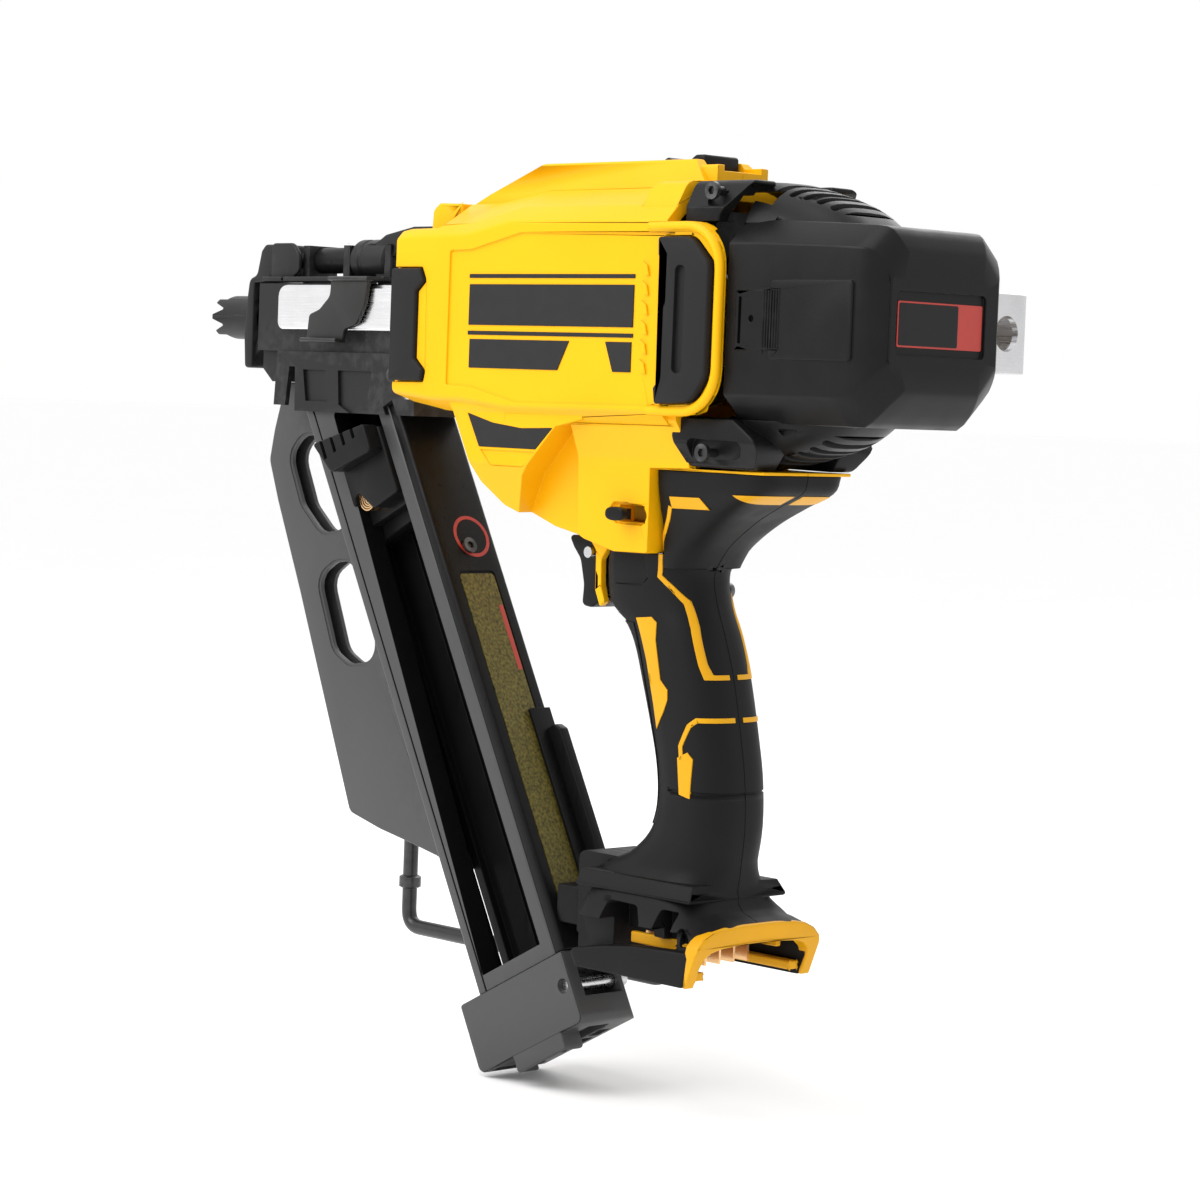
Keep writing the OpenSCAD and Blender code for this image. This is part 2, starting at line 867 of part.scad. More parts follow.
module magazine_cap() {
  rear = channel_rear + 4.5;
  color(dark)
    difference() {
      union() {
        mag_span(10.5, rear, -mag_half - 1.5, mag_half + 1.5, mag_end + eps, mag_end + 27);
        // lip around the loading mouth
        mag_span(30, 58, -mag_half - 1.5, -mag_half + 8, mag_end + 20, mag_end + 33);
      }
      // loading mouth, in line with the channel
      mag_span(channel_front, channel_rear - 4, -5, 5, mag_end - 5, mag_end + 40);
      mag_span(32, 56, -mag_half, -4, mag_end + 3, mag_end + 40);
      // pockets
      mag_span(13, 18, -12, 12, mag_end + 14, mag_end + 40);
      mag_span(28, 60, 7, 12, mag_end + 12, mag_end + 40);
      // chamfer on the rear right corner
      in_magazine()
        translate([rear, mag_half + 1.5, 0])
          rotate([0, 0, 45])
            span([-4, -4, -mag_end - 40], [4, 4, -mag_end + 1]);
      // notch that bares the cross pin
      mag_span(pin_r - 3.5, rear + 1, -10, 8, pin_u - 6, pin_u + 6);
      bar_y(2.55, -30, 40, pin_x, pin_z);
    }
}

// Cross pin through the cap (X, Z)
pin_u = mag_end + 12;
pin_r = channel_rear;
pin_x = pin_r * cos(mag_tilt) + pin_u * sin(mag_tilt);
pin_z = pin_r * sin(mag_tilt) - pin_u * cos(mag_tilt);

module magazine_pin() {
  color(steel)
    bar_y(2.5, -13, 14.5, pin_x, pin_z);
}

// Rail that carries the magazine on the handle's foot
module magazine_rail() {
  rear = channel_rear + 4.5;
  color(dark)
    difference() {
      union() {
        // foot plate on the cover and the fin that stands on it
        mag_span(rear + eps, rear + 2, 4, mag_half, 198, 284);
        mag_span(rear + eps, rear + 8, 9.5, mag_half, 206, 284);
        // tongue into the foot
        side_prism([[184, -200], [202.9, -200], [202.9, -214], [190, -214]], -12, 12);
      }
      mag_span(0, rear + eps, -30, 30, 100, 300);
      span([180, -13, -230], [192, 3.9, -190]);
    }
}

// Pusher block, its thumb tab and the rolled spring that draws it upwards
module pusher() {
  front = channel_front;
  rear = channel_rear;
  color(black)
    union() {
      mag_span(front + 12, rear - 7.3, -15.5, -3, 76, 104);
      // foot that pushes the nails
      mag_span(front + 2, rear - 7.3, -4.4, 4.4, 76, 112);
      // thumb tab
      difference() {
        in_magazine()
          translate([0, -15, 0])
            rotate([90, 0, 0])
              linear_extrude(7)
                polygon([[front + 7, -69], [front + 12.5, -84], [rear - 8, -87],
                  [rear - 8, -75.5]]);
        for (r = [34, 41, 48])
          mag_span(r, r + 1.6, -40, -20, 60, 77.5);
      }
      in_magazine()
        translate([38, -9, -104])
          rotate([90, 0, 0])
            cylinder(r = 4.6, h = 5);
    }
}

// ---- drive ----

module drive_frame(side) {
  y0 = side < 0 ? -20 : 17;
  color([0.7, 0.7, 0.7])
    difference() {
      union() {
        side_prism([[115.1, -13], [115.1, 13], [180, 30], [240, 30], [276, 13], [276, -13],
          [222, -30], [205, -48], [175, -48], [158, -30]], y0, y0 + 3);
        // half of the rear cross block, which holds the rods
        span([267, side < 0 ? -17.5 : eps, -6], [276, side < 0 ? -eps : 17.5, 6]);
        // half of the front cross block
        front_block(side);
      }
      for (s = [-1, 1])
        bar_x(rod_r, 100, 280, s * rod_y, 0);
      // bearing seat
      bar_y(9.02, -30, 30, wheel_x, wheel_z);
      bar_y(arm_pin_r, -30, 30, arm_x, arm_z);
      for (x = [135, 255])
        bar_y(5, -30, 30, x, 0);
      side_prism([[180, 20], [190, 26], [210, 26], [200, 8], [180, 8]], -30, 30);
    }
}

// Block behind the flange that the rods' front ends sit in
module front_block(side) {
  difference() {
    union() {
      span([112.1, side < 0 ? -16.9 : 6, -6], [117, side < 0 ? -6 : 16.9, 6]);
      span([115.2, side < 0 ? -17.5 : 6, -6], [117, side < 0 ? -6 : 17.5, 6]);
    }
    span([110, -5.8, -8], [120, 5.8, 8]);
  }
}

module drive_frame_left() {
  drive_frame(-1);
}

module drive_frame_right() {
  drive_frame(1);
}

module guide_rods() {
  color(steel)
    for (side = [-1, 1])
      bar_x(rod_r, 112.2, 276, side * rod_y, 0);
}

module stop_bumpers() {
  color(black)
    for (side = [-1, 1])
      difference() {
        span([117.05, min(side * 5.4, side * 16.6), -6.5],
          [wing_front - driver_stroke - 0.4, max(side * 5.4, side * 16.6), 6.5]);
        bar_x(4.7, 110, 140, side * rod_y, 0);
      }
}

module driver() {
  color(steel)
    difference() {
      union() {
        // friction keel
        span([186, -5, -6], [266, 5, 6]);
        // wings on the rods
        span([wing_front, -15.5, -5], [266, 15.5, 5]);
      }
      for (side = [-1, 1])
        bar_x(rod_r + 0.08, 180, 270, side * rod_y, 0);
      span([185, -2.5, -2.5], [214, 2.5, 2.5]);
      // lightening pockets
      for (x = [234, 250])
        span([x, -4, 2], [x + 12, 4, 7]);
    }
}

module driver_blade() {
  color(steel)
    difference() {
      span([feed_rear - 1, -2.5, -2.5], [214, 2.5, 2.5]);
      span([feed_rear + 20, -3, -3], [190, 3, -1.5]);
    }
}

module return_springs() {
  color(steel)
    for (side = [-1, 1])
      translate([117.8, side * rod_y, 0])
        coil_spring(3.9, 0.6, wing_front - 118.7, 12);
}

module flywheel() {
  color(steel)
    difference() {
      union() {
        bar_y(flywheel_r, -8.5, 8.5, wheel_x, wheel_z);
        bar_y(shaft_r, -21, 21, wheel_x, wheel_z);
      }
      // hollow that the stator stands in
      difference() {
        bar_y(flywheel_r - 5, -10, 5.5, wheel_x, wheel_z);
        bar_y(shaft_r, -21, 21, wheel_x, wheel_z);
      }
      // grooves that grip the keel
      for (y = [-3, 0, 3])
        difference() {
          bar_y(flywheel_r + 1, y - 0.5, y + 0.5, wheel_x, wheel_z);
          bar_y(flywheel_r - 0.8, y - 0.6, y + 0.6, wheel_x, wheel_z);
        }
    }
}

module motor_stator() {
  color([0.6, 0.38, 0.2])
    difference() {
      union() {
        bar_y(flywheel_r - 6, -8.5, 4.8, wheel_x, wheel_z);
        bar_y(12, -16.9, -8, wheel_x, wheel_z);
      }
      bar_y(shaft_r + 1, -30, 30, wheel_x, wheel_z);
      for (i = [0 : 8])
        translate([wheel_x, 0, wheel_z])
          rotate([0, 40 * i, 0])
            span([flywheel_r - 11, -20, -1], [flywheel_r, 6, 1]);
    }
}

module motor_bearings() {
  color(steel)
    for (y = [-20, 17])
      difference() {
        bar_y(9, y, y + 3, wheel_x, wheel_z);
        bar_y(shaft_r + 0.03, -30, 30, wheel_x, wheel_z);
      }
}

module roller_arm() {
  color([0.55, 0.55, 0.55])
    difference() {
      union() {
        for (side = [-1, 1])
          side_prism([[roller_x - 6, roller_z + 6], [roller_x + 4, roller_z - 5],
            [arm_x + 5, arm_z - 6], [arm_x + 5, arm_z + 14], [arm_x - 3, arm_z + 14],
            [arm_x - 6, arm_z + 5]],
            min(side * 6.3, side * 9.5), max(side * 6.3, side * 9.5));
        span([arm_x - 3, -9.5, arm_z + 8], [arm_x + 2, 9.5, arm_z + 14]);
        // axle of the roller
        bar_y(2.5, -9.5, 9.5, roller_x, roller_z);
      }
      bar_y(arm_pin_r + 0.05, -30, 30, arm_x, arm_z);
    }
}

module pinch_roller() {
  color(steel)
    difference() {
      bar_y(roller_r, -6, 6, roller_x, roller_z);
      bar_y(2.55, -10, 10, roller_x, roller_z);
    }
}

module roller_pivot_pin() {
  color(steel)
    bar_y(arm_pin_r, -20, 20, arm_x, arm_z);
}

module solenoid() {
  color(grey)
    difference() {
      span([232, -10, 23], [256, 10, 38.5]);
      bar_x(3.55, 230, 252, 0, arm_z + 11);
    }
}

module solenoid_plunger() {
  color(steel)
    union() {
      bar_x(3.5, 227.4, 250, 0, arm_z + 11);
      bar_x(5, 225.4, 227.5, 0, arm_z + 11);
    }
}

module control_board() {
  color([0.1, 0.35, 0.2])
    union() {
      span([333.5, -24, -20], [335.1, 24, 20]);
      for (y = [-16, 0, 16])
        span([335, y - 4, -6], [339, y + 4, 6]);
      span([335, -20, 10], [338, 20, 15]);
    }
}

module switch_module() {
  color(dark)
    difference() {
      union() {
        span([213, -11, -98], [236, 11, -82]);
        // plunger that the trigger presses
        bar_x(2.5, 209.5, 214, 0, -90);
      }
      span([220, -12, -85], [230, 12, -81]);
    }
}

module trigger() {
  color(black)
    difference() {
      side_prism([[186, -75.5], [206.5, -75.5], [206.5, -86], [204.5, -98], [199, -101],
        [194.5, -100], [195.5, -93], [193.5, -86], [189, -80]], -8, 8);
      bar_y(trigger_pin_r + 0.05, -30, 30, trigger_x, trigger_z);
      span([198, -5, -97], [210, 5, -86]);
    }
}

module trigger_pin() {
  color(steel)
    bar_y(trigger_pin_r, -14, 14, trigger_x, trigger_z);
}

module trigger_spring() {
  color(steel)
    translate([199, 0, -94.8])
      coil_spring(1.8, 0.35, 13.3, 6);
}

// ---- hooks ----

module rafter_hook() {
  color(dark)
    union() {
      // upright in the bracket
      bar_z(wire_r, hook_low, -200, hook_x, hook_y);
      translate([hook_x, hook_y, hook_low])
        sphere(r = wire_r);
      // long arm forward beside the magazine
      bar_x(wire_r, hook_x - hook_reach, hook_x, hook_y, hook_low);
      translate([hook_x - hook_reach, hook_y, hook_low])
        sphere(r = wire_r);
      // turned up end with its grey ring
      bar_z(wire_r, hook_low, -172, hook_x - hook_reach, hook_y);
      bar_z(wire_r + 1.4, -222, -217, hook_x - hook_reach, hook_y);
    }
}

module hook_bracket() {
  color(dark)
    difference() {
      union() {
        span([hook_x - 6, 21.2, -220], [hook_x + 6, hook_y + 6, -206]);
        span([hook_x - 1.9, 13.1, -219], [215.9, 30, -207.1]);
      }
      bar_z(wire_r + 0.05, -260, -190, hook_x, hook_y);
    }
}

module belt_hook() {
  side = cap_half + 0.9;
  color(steel)
    difference() {
      union() {
        // plate on the cap
        span([304, side, -13.5], [338, side + 2.5, 13.5]);
        // leg outwards
        span([335.5, side, -13.5], [338, 60, 13.5]);
        // arm forward
        span([266, 57.5, -13.5], [338, 60, 13.5]);
      }
      bar_x(hang_r, 325, 345, 47, 0);
      for (z = [-7, 7])
        bar_y(2.1, 20, 40, 318, z);
    }
}

// ---- fasteners ----

module housing_screws() {
  color(steel)
    for (p = concat(housing_screw_places, handle_screw_places))
      translate([p[0], 12, p[1]])
        rotate([-90, 0, 0])
          cap_screw(1.55, 24, 2.8, 2);
}

module cover_screws() {
  color(steel)
    for (side = [-1, 1], up = [-1, 1])
      translate([275, side * 31, up * 43.5])
        rotate([-90 * side, 0, 0])
          cap_screw(1.55, 10, 3, 1.6);
}

module magazine_screws() {
  color(steel) {
    in_magazine()
      for (u = [132, 285])
        translate([channel_rear + 4.5, 0, -u])
          rotate([0, 90, 0])
            cap_screw(1.55, 7.5, 3, 1.4);
    translate([97, -mag_half - 2, -21])
      rotate([90, 0, 0])
        cap_screw(1.55, 4.5, 2.8, 1.5);
  }
}

housing_left();
housing_right();
motor_cover();
rear_cap();
handle_left();
handle_right();
grip_pad();
handle_accents();
front_bumper_left();
front_bumper_right();
rear_bumper_left();
rear_bumper_right();
nose_flange();
nose_body();
nose_plate();
trip_spring_tube();
magazine_head();
nail_guide();
magazine_channel();
magazine_cover();
magazine_label();
magazine_cap();
magazine_rail();
magazine_pin();
drive_frame_left();
drive_frame_right();
guide_rods();
stop_bumpers();
motor_stator();
motor_bearings();
solenoid();
control_board();
switch_module();
trigger_pin();
roller_pivot_pin();
battery_dock();
battery_terminals();
led_lens();
belt_hook();
hook_bracket();
housing_screws();
cover_screws();
magazine_screws();
contact_trip();
trip_link();
trip_spring();
depth_wheel();
trigger();
trigger_spring();
selector_switch();
stall_lever();
driver();
driver_blade();
return_springs();
flywheel();
roller_arm();
pinch_roller();
solenoid_plunger();
pusher();
rafter_hook();
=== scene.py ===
"""Cordless framing nailer without its battery, built round the CAD part's frame.

Shapes are drawn in millimetres: X runs back along the drive axis, Z is up and -Y is the tool's left.
An outline is a list of points in millimetres; a third number is that corner's own radius.
"""

import math

import bmesh
import bpy
from mathutils import Matrix, Vector


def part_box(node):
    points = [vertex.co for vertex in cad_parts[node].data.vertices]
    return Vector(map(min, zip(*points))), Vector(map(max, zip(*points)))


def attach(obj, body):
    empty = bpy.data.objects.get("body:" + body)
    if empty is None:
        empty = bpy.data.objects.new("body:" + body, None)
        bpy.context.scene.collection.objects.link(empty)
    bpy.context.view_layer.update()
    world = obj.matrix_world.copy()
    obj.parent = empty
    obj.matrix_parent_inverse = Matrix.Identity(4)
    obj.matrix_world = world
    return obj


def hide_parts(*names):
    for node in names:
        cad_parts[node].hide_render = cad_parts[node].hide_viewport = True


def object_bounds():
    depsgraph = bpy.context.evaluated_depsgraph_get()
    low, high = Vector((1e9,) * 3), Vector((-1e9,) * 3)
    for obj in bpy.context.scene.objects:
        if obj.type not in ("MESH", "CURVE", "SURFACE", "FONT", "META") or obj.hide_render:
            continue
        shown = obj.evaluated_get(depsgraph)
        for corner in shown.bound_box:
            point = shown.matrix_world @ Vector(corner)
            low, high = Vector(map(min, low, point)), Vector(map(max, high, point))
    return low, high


MM = 0.001
JOIN = 0.003  # points nearer than this, in mm, are one point
LAST_JOIN = 0.01  # the same, once a piece is whole
SPLIT = 0.05  # each half stays this far from the middle plane, in mm
FAR = 60  # past both sides of the tool, in mm
SHELL_ANGLE = 34  # the large shells are bevelled at sharper edges only, in degrees
MIRROR = Matrix.Scale(-1, 4, (0, 1, 0))
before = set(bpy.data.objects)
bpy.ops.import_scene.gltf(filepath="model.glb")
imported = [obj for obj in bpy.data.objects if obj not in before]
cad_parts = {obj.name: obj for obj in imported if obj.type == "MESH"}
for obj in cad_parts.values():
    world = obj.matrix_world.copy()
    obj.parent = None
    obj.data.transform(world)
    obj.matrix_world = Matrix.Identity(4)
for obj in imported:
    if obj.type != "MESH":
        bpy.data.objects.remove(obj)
cad_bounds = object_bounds()
scene = bpy.context.scene


def low(node):
    """Lowest corner of a CAD node, in millimetres."""
    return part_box(node)[0] / MM


def high(node):
    """Highest corner of a CAD node, in millimetres."""
    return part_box(node)[1] / MM


# -------- outlines


def rounded(points, radius=0.0, steps=4, even=False):
    """Outline with rounded corners; with even, each corner gives the same number of points."""
    result = []
    count = len(points)
    for i, point in enumerate(points):
        r = point[2] if len(point) > 2 else radius
        here = Vector(point[:2])
        back = Vector(points[i - 1][:2]) - here
        ahead = Vector(points[(i + 1) % count][:2]) - here
        half = back.angle(ahead) / 2 if back.length > 1e-6 and ahead.length > 1e-6 else 2
        if r <= 0 or half > 1.54:
            result += [here] * (steps + 1 if even else 1)
            continue
        cut_back = min(r / math.tan(half), back.length * 0.49, ahead.length * 0.49)
        r = cut_back * math.tan(half)
        middle = (back.normalized() + ahead.normalized()).normalized()
        centre = here + middle * (r / math.sin(half))
        start = (here + back.normalized() * cut_back - centre).normalized()
        end = (here + ahead.normalized() * cut_back - centre).normalized()
        for k in range(steps + 1):
            result.append(centre + start.slerp(end, k / steps) * r)
    return result


def inset(outline, distance):
    """Outline moved inwards by a small distance."""
    area = sum(
        outline[i - 1][0] * p[1] - p[0] * outline[i - 1][1] for i, p in enumerate(outline)
    )
    turn = 1 if area > 0 else -1
    result = []
    for i, p in enumerate(outline):
        one = (Vector(p) - Vector(outline[i - 1])).normalized()
        two = (Vector(outline[(i + 1) % len(outline)]) - Vector(p)).normalized()
        normal = (Vector((-one.y, one.x)) + Vector((-two.y, two.x))) * turn
        if normal.length < 1e-6:
            normal = Vector((-one.y, one.x)) * turn
        normal.normalize()
        reach = distance / max(0.45, abs(normal.dot(Vector((-one.y, one.x)))))
        result.append(Vector(p) + normal * reach)
    return result


def smooth_value(keys, t):
    """Smooth curve through (place, value) keys, read at t."""
    if t <= keys[0][0]:
        return keys[0][1]
    for i in range(len(keys) - 1):
        (t0, v0), (t1, v1) = keys[i], keys[i + 1]
        if t <= t1:
            before = keys[i - 1] if i else keys[i]
            after = keys[i + 2] if i + 2 < len(keys) else keys[i + 1]
            span = t1 - t0
            m0 = (v1 - before[1]) / (t1 - before[0]) * span
            m1 = (after[1] - v0) / (after[0] - t0) * span
            s = (t - t0) / span
            return (
                (2 * s**3 - 3 * s**2 + 1) * v0
                + (s**3 - 2 * s**2 + s) * m0
                + (3 * s**2 - 2 * s**3) * v1
                + (s**3 - s**2) * m1
            )
    return keys[-1][1]


# -------- solids


def linked(name, data):
    """New object in the scene."""
    made = bpy.data.objects.new(name, data)
    scene.collection.objects.link(made)
    return made


def meshed(bm, name="solid"):
    """Object from a bmesh as it is."""
    mesh = bpy.data.meshes.new(name)
    bm.to_mesh(mesh)
    bm.free()
    return linked(name, mesh)


def join_points(bm, distance=JOIN):
    """Merges doubled points and takes out faces without area."""
    bmesh.ops.remove_doubles(bm, verts=bm.verts, dist=distance)
    bmesh.ops.dissolve_degenerate(bm, edges=bm.edges, dist=distance)


def solid(bm, name="solid"):
    """Object from a bmesh, with its normals facing outwards."""
    join_points(bm)
    bmesh.ops.recalc_face_normals(bm, faces=bm.faces)
    return meshed(bm, name)


# turns a place in an outline and a place along the axis into a point
PLANES = {
    "X": lambda a, b, c: (c, a, b),
    "Y": lambda a, b, c: (a, c, b),
    "Z": lambda a, b, c: (a, b, c),
}
QUARTER_TURN = (0, 0.52, 1.05, 1.571)


def skin(rings):
    """Solid through rings of points with equal counts, closed at its ends."""
    bm = bmesh.new()
    rows = [[bm.verts.new(p) for p in ring] for ring in rings]
    bm.faces.new(rows[0][::-1])
    bm.faces.new(rows[-1])
    for one, two in zip(rows, rows[1:]):
        for k in range(len(one)):
            bm.faces.new((one[k - 1], one[k], two[k], two[k - 1]))
    return solid(bm)


def prism(points, start, end, axis="Y", radius=0.0, steps=4, edge=0.0):
    """Outline drawn out between two places along an axis, with rounded edges at its ends."""
    outline = rounded(points, radius, steps)
    place = PLANES[axis]
    levels = [(start, 0.0), (end, 0.0)]
    if edge:
        arc = [(edge * (1 - math.cos(a)), edge * (1 - math.sin(a))) for a in QUARTER_TURN]
        levels = [(start + d, e) for d, e in arc] + [(end - d, e) for d, e in arc[::-1]]
    rings = [(inset(outline, e) if e else outline, c) for c, e in levels]
    return skin([[place(p[0], p[1], c) for p in ring] for ring, c in rings])


def offset_x(start, points):
    """Side outline moved back along X."""
    return [(start + p[0], *p[1:]) for p in points]


def slab(points, start, end=None, x=0.0, **more):
    """Side outline, moved back by x and drawn out across the tool, evenly if one place is given."""
    if end is None:
        start, end = -start, start
    return prism(offset_x(x, points), start, end, **more)


def both_sides(made):
    """A solid and its twin on the tool's other side, as one."""
    return merged([made, mirrored(made)])


def pair(points, start, end, x=0.0, **more):
    """A slab on the left and the same on the right."""
    return both_sides(slab(points, start, end, x, **more))


def symmetric(half):
    """Outline across the tool from its half on one side."""
    return half + [(-p[0], *p[1:]) for p in half[::-1]]


def rectangle(a0, a1, b0, b1):
    return [(a0, b0), (a1, b0), (a1, b1), (a0, b1)]


def block(corner, opposite, radius=0.0, axis="X", edge=0.0):
    """Box between two corners, with the edges along one axis rounded."""
    (x0, y0, z0), (x1, y1, z1) = corner, opposite
    flat = {"X": (y0, y1, z0, z1), "Y": (x0, x1, z0, z1), "Z": (x0, x1, y0, y1)}[axis]
    along = {"X": (x0, x1), "Y": (y0, y1), "Z": (z0, z1)}[axis]
    return prism(rectangle(*flat), *along, axis, radius, edge=edge)


def centred(x0, x1, half, z0, z1, *more):
    """Box of equal reach on both sides of the tool."""
    return block((x0, -half, z0), (x1, half, z1), *more)


def circle(a, b, r, sides=32):
    return [
        (a + r * math.cos(math.tau * i / sides), b + r * math.sin(math.tau * i / sides))
        for i in range(sides)
    ]


def rod(axis, a, b, r, start, end, sides=32, edge=0.0):
    """Round bar along an axis."""
    return prism(circle(a, b, r, sides), start, end, axis, edge=edge)


def turned(axis, a, b, profile, sides=48):
    """Solid of revolution: profile is (place along the axis, radius) pairs."""
    place = PLANES[axis]
    return skin([[place(p[0], p[1], c) for p in circle(a, b, r, sides)] for c, r in profile])


def swept(path, r, sides=20):
    """Round wire along a path of points."""
    rings = []
    path = [Vector(p) for p in path]
    side = None
    for i, p in enumerate(path):
        ahead = (path[min(i + 1, len(path) - 1)] - path[max(i - 1, 0)]).normalized()
        if side is None:
            side = ahead.orthogonal().normalized()
        side = (side - ahead * side.dot(ahead)).normalized()
        across = ahead.cross(side)
        turns = [math.tau * k / sides for k in range(sides)]
        rings.append([p + (side * math.cos(t) + across * math.sin(t)) * r for t in turns])
    return skin(rings)


def oval(centre, across, along, power=2.5, steps=48):
    """Ring of points on a superellipse."""
    ring = []
    for k in range(steps):
        c, s = math.cos(math.tau * k / steps), math.sin(math.tau * k / steps)
        ring.append(
            Vector(centre)
            + Vector(across) * math.copysign(abs(c) ** (2 / power), c)
            + Vector(along) * math.copysign(abs(s) ** (2 / power), s)
        )
    return ring


def bake(made):
    """Applies an object's modifiers."""
    graph = bpy.context.evaluated_depsgraph_get()
    mesh = bpy.data.meshes.new_from_object(made.evaluated_get(graph))
    made.modifiers.clear()
    old, made.data = made.data, mesh
    bpy.data.meshes.remove(old)
    return made


def merged(parts):
    """One object out of several, each keeping its own closed skin."""
    bm = bmesh.new()
    for part in parts:
        bm.from_mesh(part.data)
        bpy.data.objects.remove(part)
    return meshed(bm)


def carve(made, how, *tools):
    """Boolean of one solid with others, one after the other."""
    for tool in tools:
        boolean = made.modifiers.new("boolean", "BOOLEAN")
        boolean.operation = how
        boolean.solver = "EXACT"
        boolean.object = tool
        bake(made)
        bpy.data.objects.remove(tool)
        edit(made, join_points)
    return made


def cut(made, *tools):
    return carve(made, "DIFFERENCE", *tools)


def add(made, *tools):
    return carve(made, "UNION", *tools)


def keep(made, *tools):
    return carve(made, "INTERSECT", *tools)


def copy(made):
    twin = made.copy()
    twin.data = made.data.copy()
    scene.collection.objects.link(twin)
    return twin


def moved(made, matrix):
    made.data.transform(matrix)
    if matrix.determinant() < 0:
        made.data.flip_normals()
    return made


def mirrored(made):
    """Twin of a solid on the tool's other side."""
    return moved(copy(made), MIRROR)


def edit(made, change):
    """Runs a change on an object's mesh."""
    bm = bmesh.new()
    bm.from_mesh(made.data)
    change(bm)
    bm.to_mesh(made.data)
    bm.free()


def split_faces(bm):
    """Splits faces of many corners, whose bevels would otherwise tear."""
    bmesh.ops.triangulate(bm, faces=[face for face in bm.faces if len(face.verts) > 4])


def soften(made, width, segments, angle):
    """Rounds the sharp edges."""
    bevel = made.modifiers.new("soft edges", "BEVEL")
    bevel.width = width
    bevel.segments = segments
    bevel.limit_method = "ANGLE"
    bevel.angle_limit = math.radians(angle)
    bevel.use_clamp_overlap = False
    bevel.harden_normals = True
    bevel.miter_outer = "MITER_ARC"


def shade(made, angle=35):
    made.data.shade_smooth()
    made.data.set_sharp_from_angle(angle=math.radians(angle))


def halves(made, x0, x1, z0, z1):
    """Left and right half of a solid, inside a box."""
    twin = copy(made)
    keep(made, block((x0, -FAR, z0), (x1, -SPLIT, z1)))
    return made, keep(twin, block((x0, SPLIT, z0), (x1, FAR, z1)))


def finish_piece(
    made, name, slot=None, stands_for=(), edge=0.5, finish=None, body="tool", segments=2, angle=28
):
    """Names a solid, brings it to metres and hangs it on its body."""
    edit(made, lambda bm: join_points(bm, LAST_JOIN))
    edit(made, split_faces)
    made.name = made.data.name = name
    made.data.transform(Matrix.Scale(MM, 4))
    shade(made)
    if edge:
        soften(made, edge * MM, segments, angle)
    made.data.materials.clear()
    made.data.materials.append(finish or FINISHES[slot])
    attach(made, body)
    if stands_for:
        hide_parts(*stands_for)
    return made


# -------- materials


def look(
    name,
    colour,
    rough=0.5,
    metal=0.0,
    shift=0.08,
    patch=90.0,
    grain=1400.0,
    depth=0.2,
    worn=0.0,
    coat=0.0,
    brushed=None,
    specular=0.5,
):
    """Procedural finish: mottled colour and roughness, fine relief and rubbed edges."""
    made = bpy.data.materials.new(name)
    made.use_nodes = True
    nodes, links = made.node_tree.nodes, made.node_tree.links
    shader = nodes["Principled BSDF"]
    shader.inputs["Metallic"].default_value = metal
    shader.inputs["Coat Weight"].default_value = coat
    shader.inputs["Coat Roughness"].default_value = 0.25
    shader.inputs["Specular IOR Level"].default_value = specular

    def node(kind, **settings):
        new = nodes.new(kind)
        for key, value in settings.items():
            setattr(new, key, value)
        return new

    where = node("ShaderNodeTexCoord").outputs["Object"]

    def noise(scale, detail=4.0, stretch=None):
        source = where
        if stretch:
            mapping = node("ShaderNodeMapping")
            mapping.inputs["Scale"].default_value = stretch
            links.new(where, mapping.inputs["Vector"])
            source = mapping.outputs["Vector"]
        new = node("ShaderNodeTexNoise")
        new.inputs["Scale"].default_value = scale
        new.inputs["Detail"].default_value = detail
        links.new(source, new.inputs["Vector"])
        return new.outputs["Fac"]

    def remap(value, low_in, high_in, low_out, high_out):
        new = node("ShaderNodeMapRange")
        for key, number in zip(
            ("From Min", "From Max", "To Min", "To Max"), (low_in, high_in, low_out, high_out)
        ):
            new.inputs[key].default_value = number
        links.new(value, new.inputs["Value"])
        return new.outputs["Result"]

    def blend(factor, one, two):
        new = node("ShaderNodeMix", data_type="RGBA")
        links.new(factor, new.inputs["Factor"])
        for socket, value in ((new.inputs[6], one), (new.inputs[7], two)):
            if isinstance(value, tuple):
                socket.default_value = (*value, 1.0)
            else:
                links.new(value, socket)
        return new.outputs[2]

    darker = tuple(c * (1 - shift) for c in colour)
    lighter = tuple(min(1.0, c * (1 + shift)) for c in colour)
    cloud = noise(patch)
    paint = blend(remap(cloud, 0.3, 0.7, 0.0, 1.0), darker, lighter)
    speck = noise(grain, 2.0)
    paint_rough = remap(cloud, 0.3, 0.7, rough * 0.88, min(1.0, rough * 1.12))
    if worn:
        edge = nodes.new("ShaderNodeNewGeometry").outputs["Pointiness"]
        rub = node("ShaderNodeMath", operation="MULTIPLY")
        links.new(remap(edge, 0.52, 0.6, 0.0, 1.0), rub.inputs[0])
        links.new(remap(noise(240.0), 0.42, 0.62, 0.0, worn), rub.inputs[1])
        bright = tuple(min(1.0, c * 1.6 + 0.05) for c in colour)
        paint = blend(rub.outputs["Value"], paint, bright)
    relief = speck
    if brushed:
        streaks = noise(60.0, 6.0, brushed)
        relief = streaks
        paint_rough = remap(streaks, 0.3, 0.7, rough * 0.75, min(1.0, rough * 1.35))
    links.new(paint, shader.inputs["Base Color"])
    links.new(paint_rough, shader.inputs["Roughness"])
    bump = node("ShaderNodeBump")
    bump.inputs["Strength"].default_value = depth
    bump.inputs["Distance"].default_value = 0.0001
    links.new(relief, bump.inputs["Height"])
    links.new(bump.outputs["Normal"], shader.inputs["Normal"])
    return made


LENGTHWISE = (1.0, 24.0, 24.0)  # stretches the noise into streaks along X
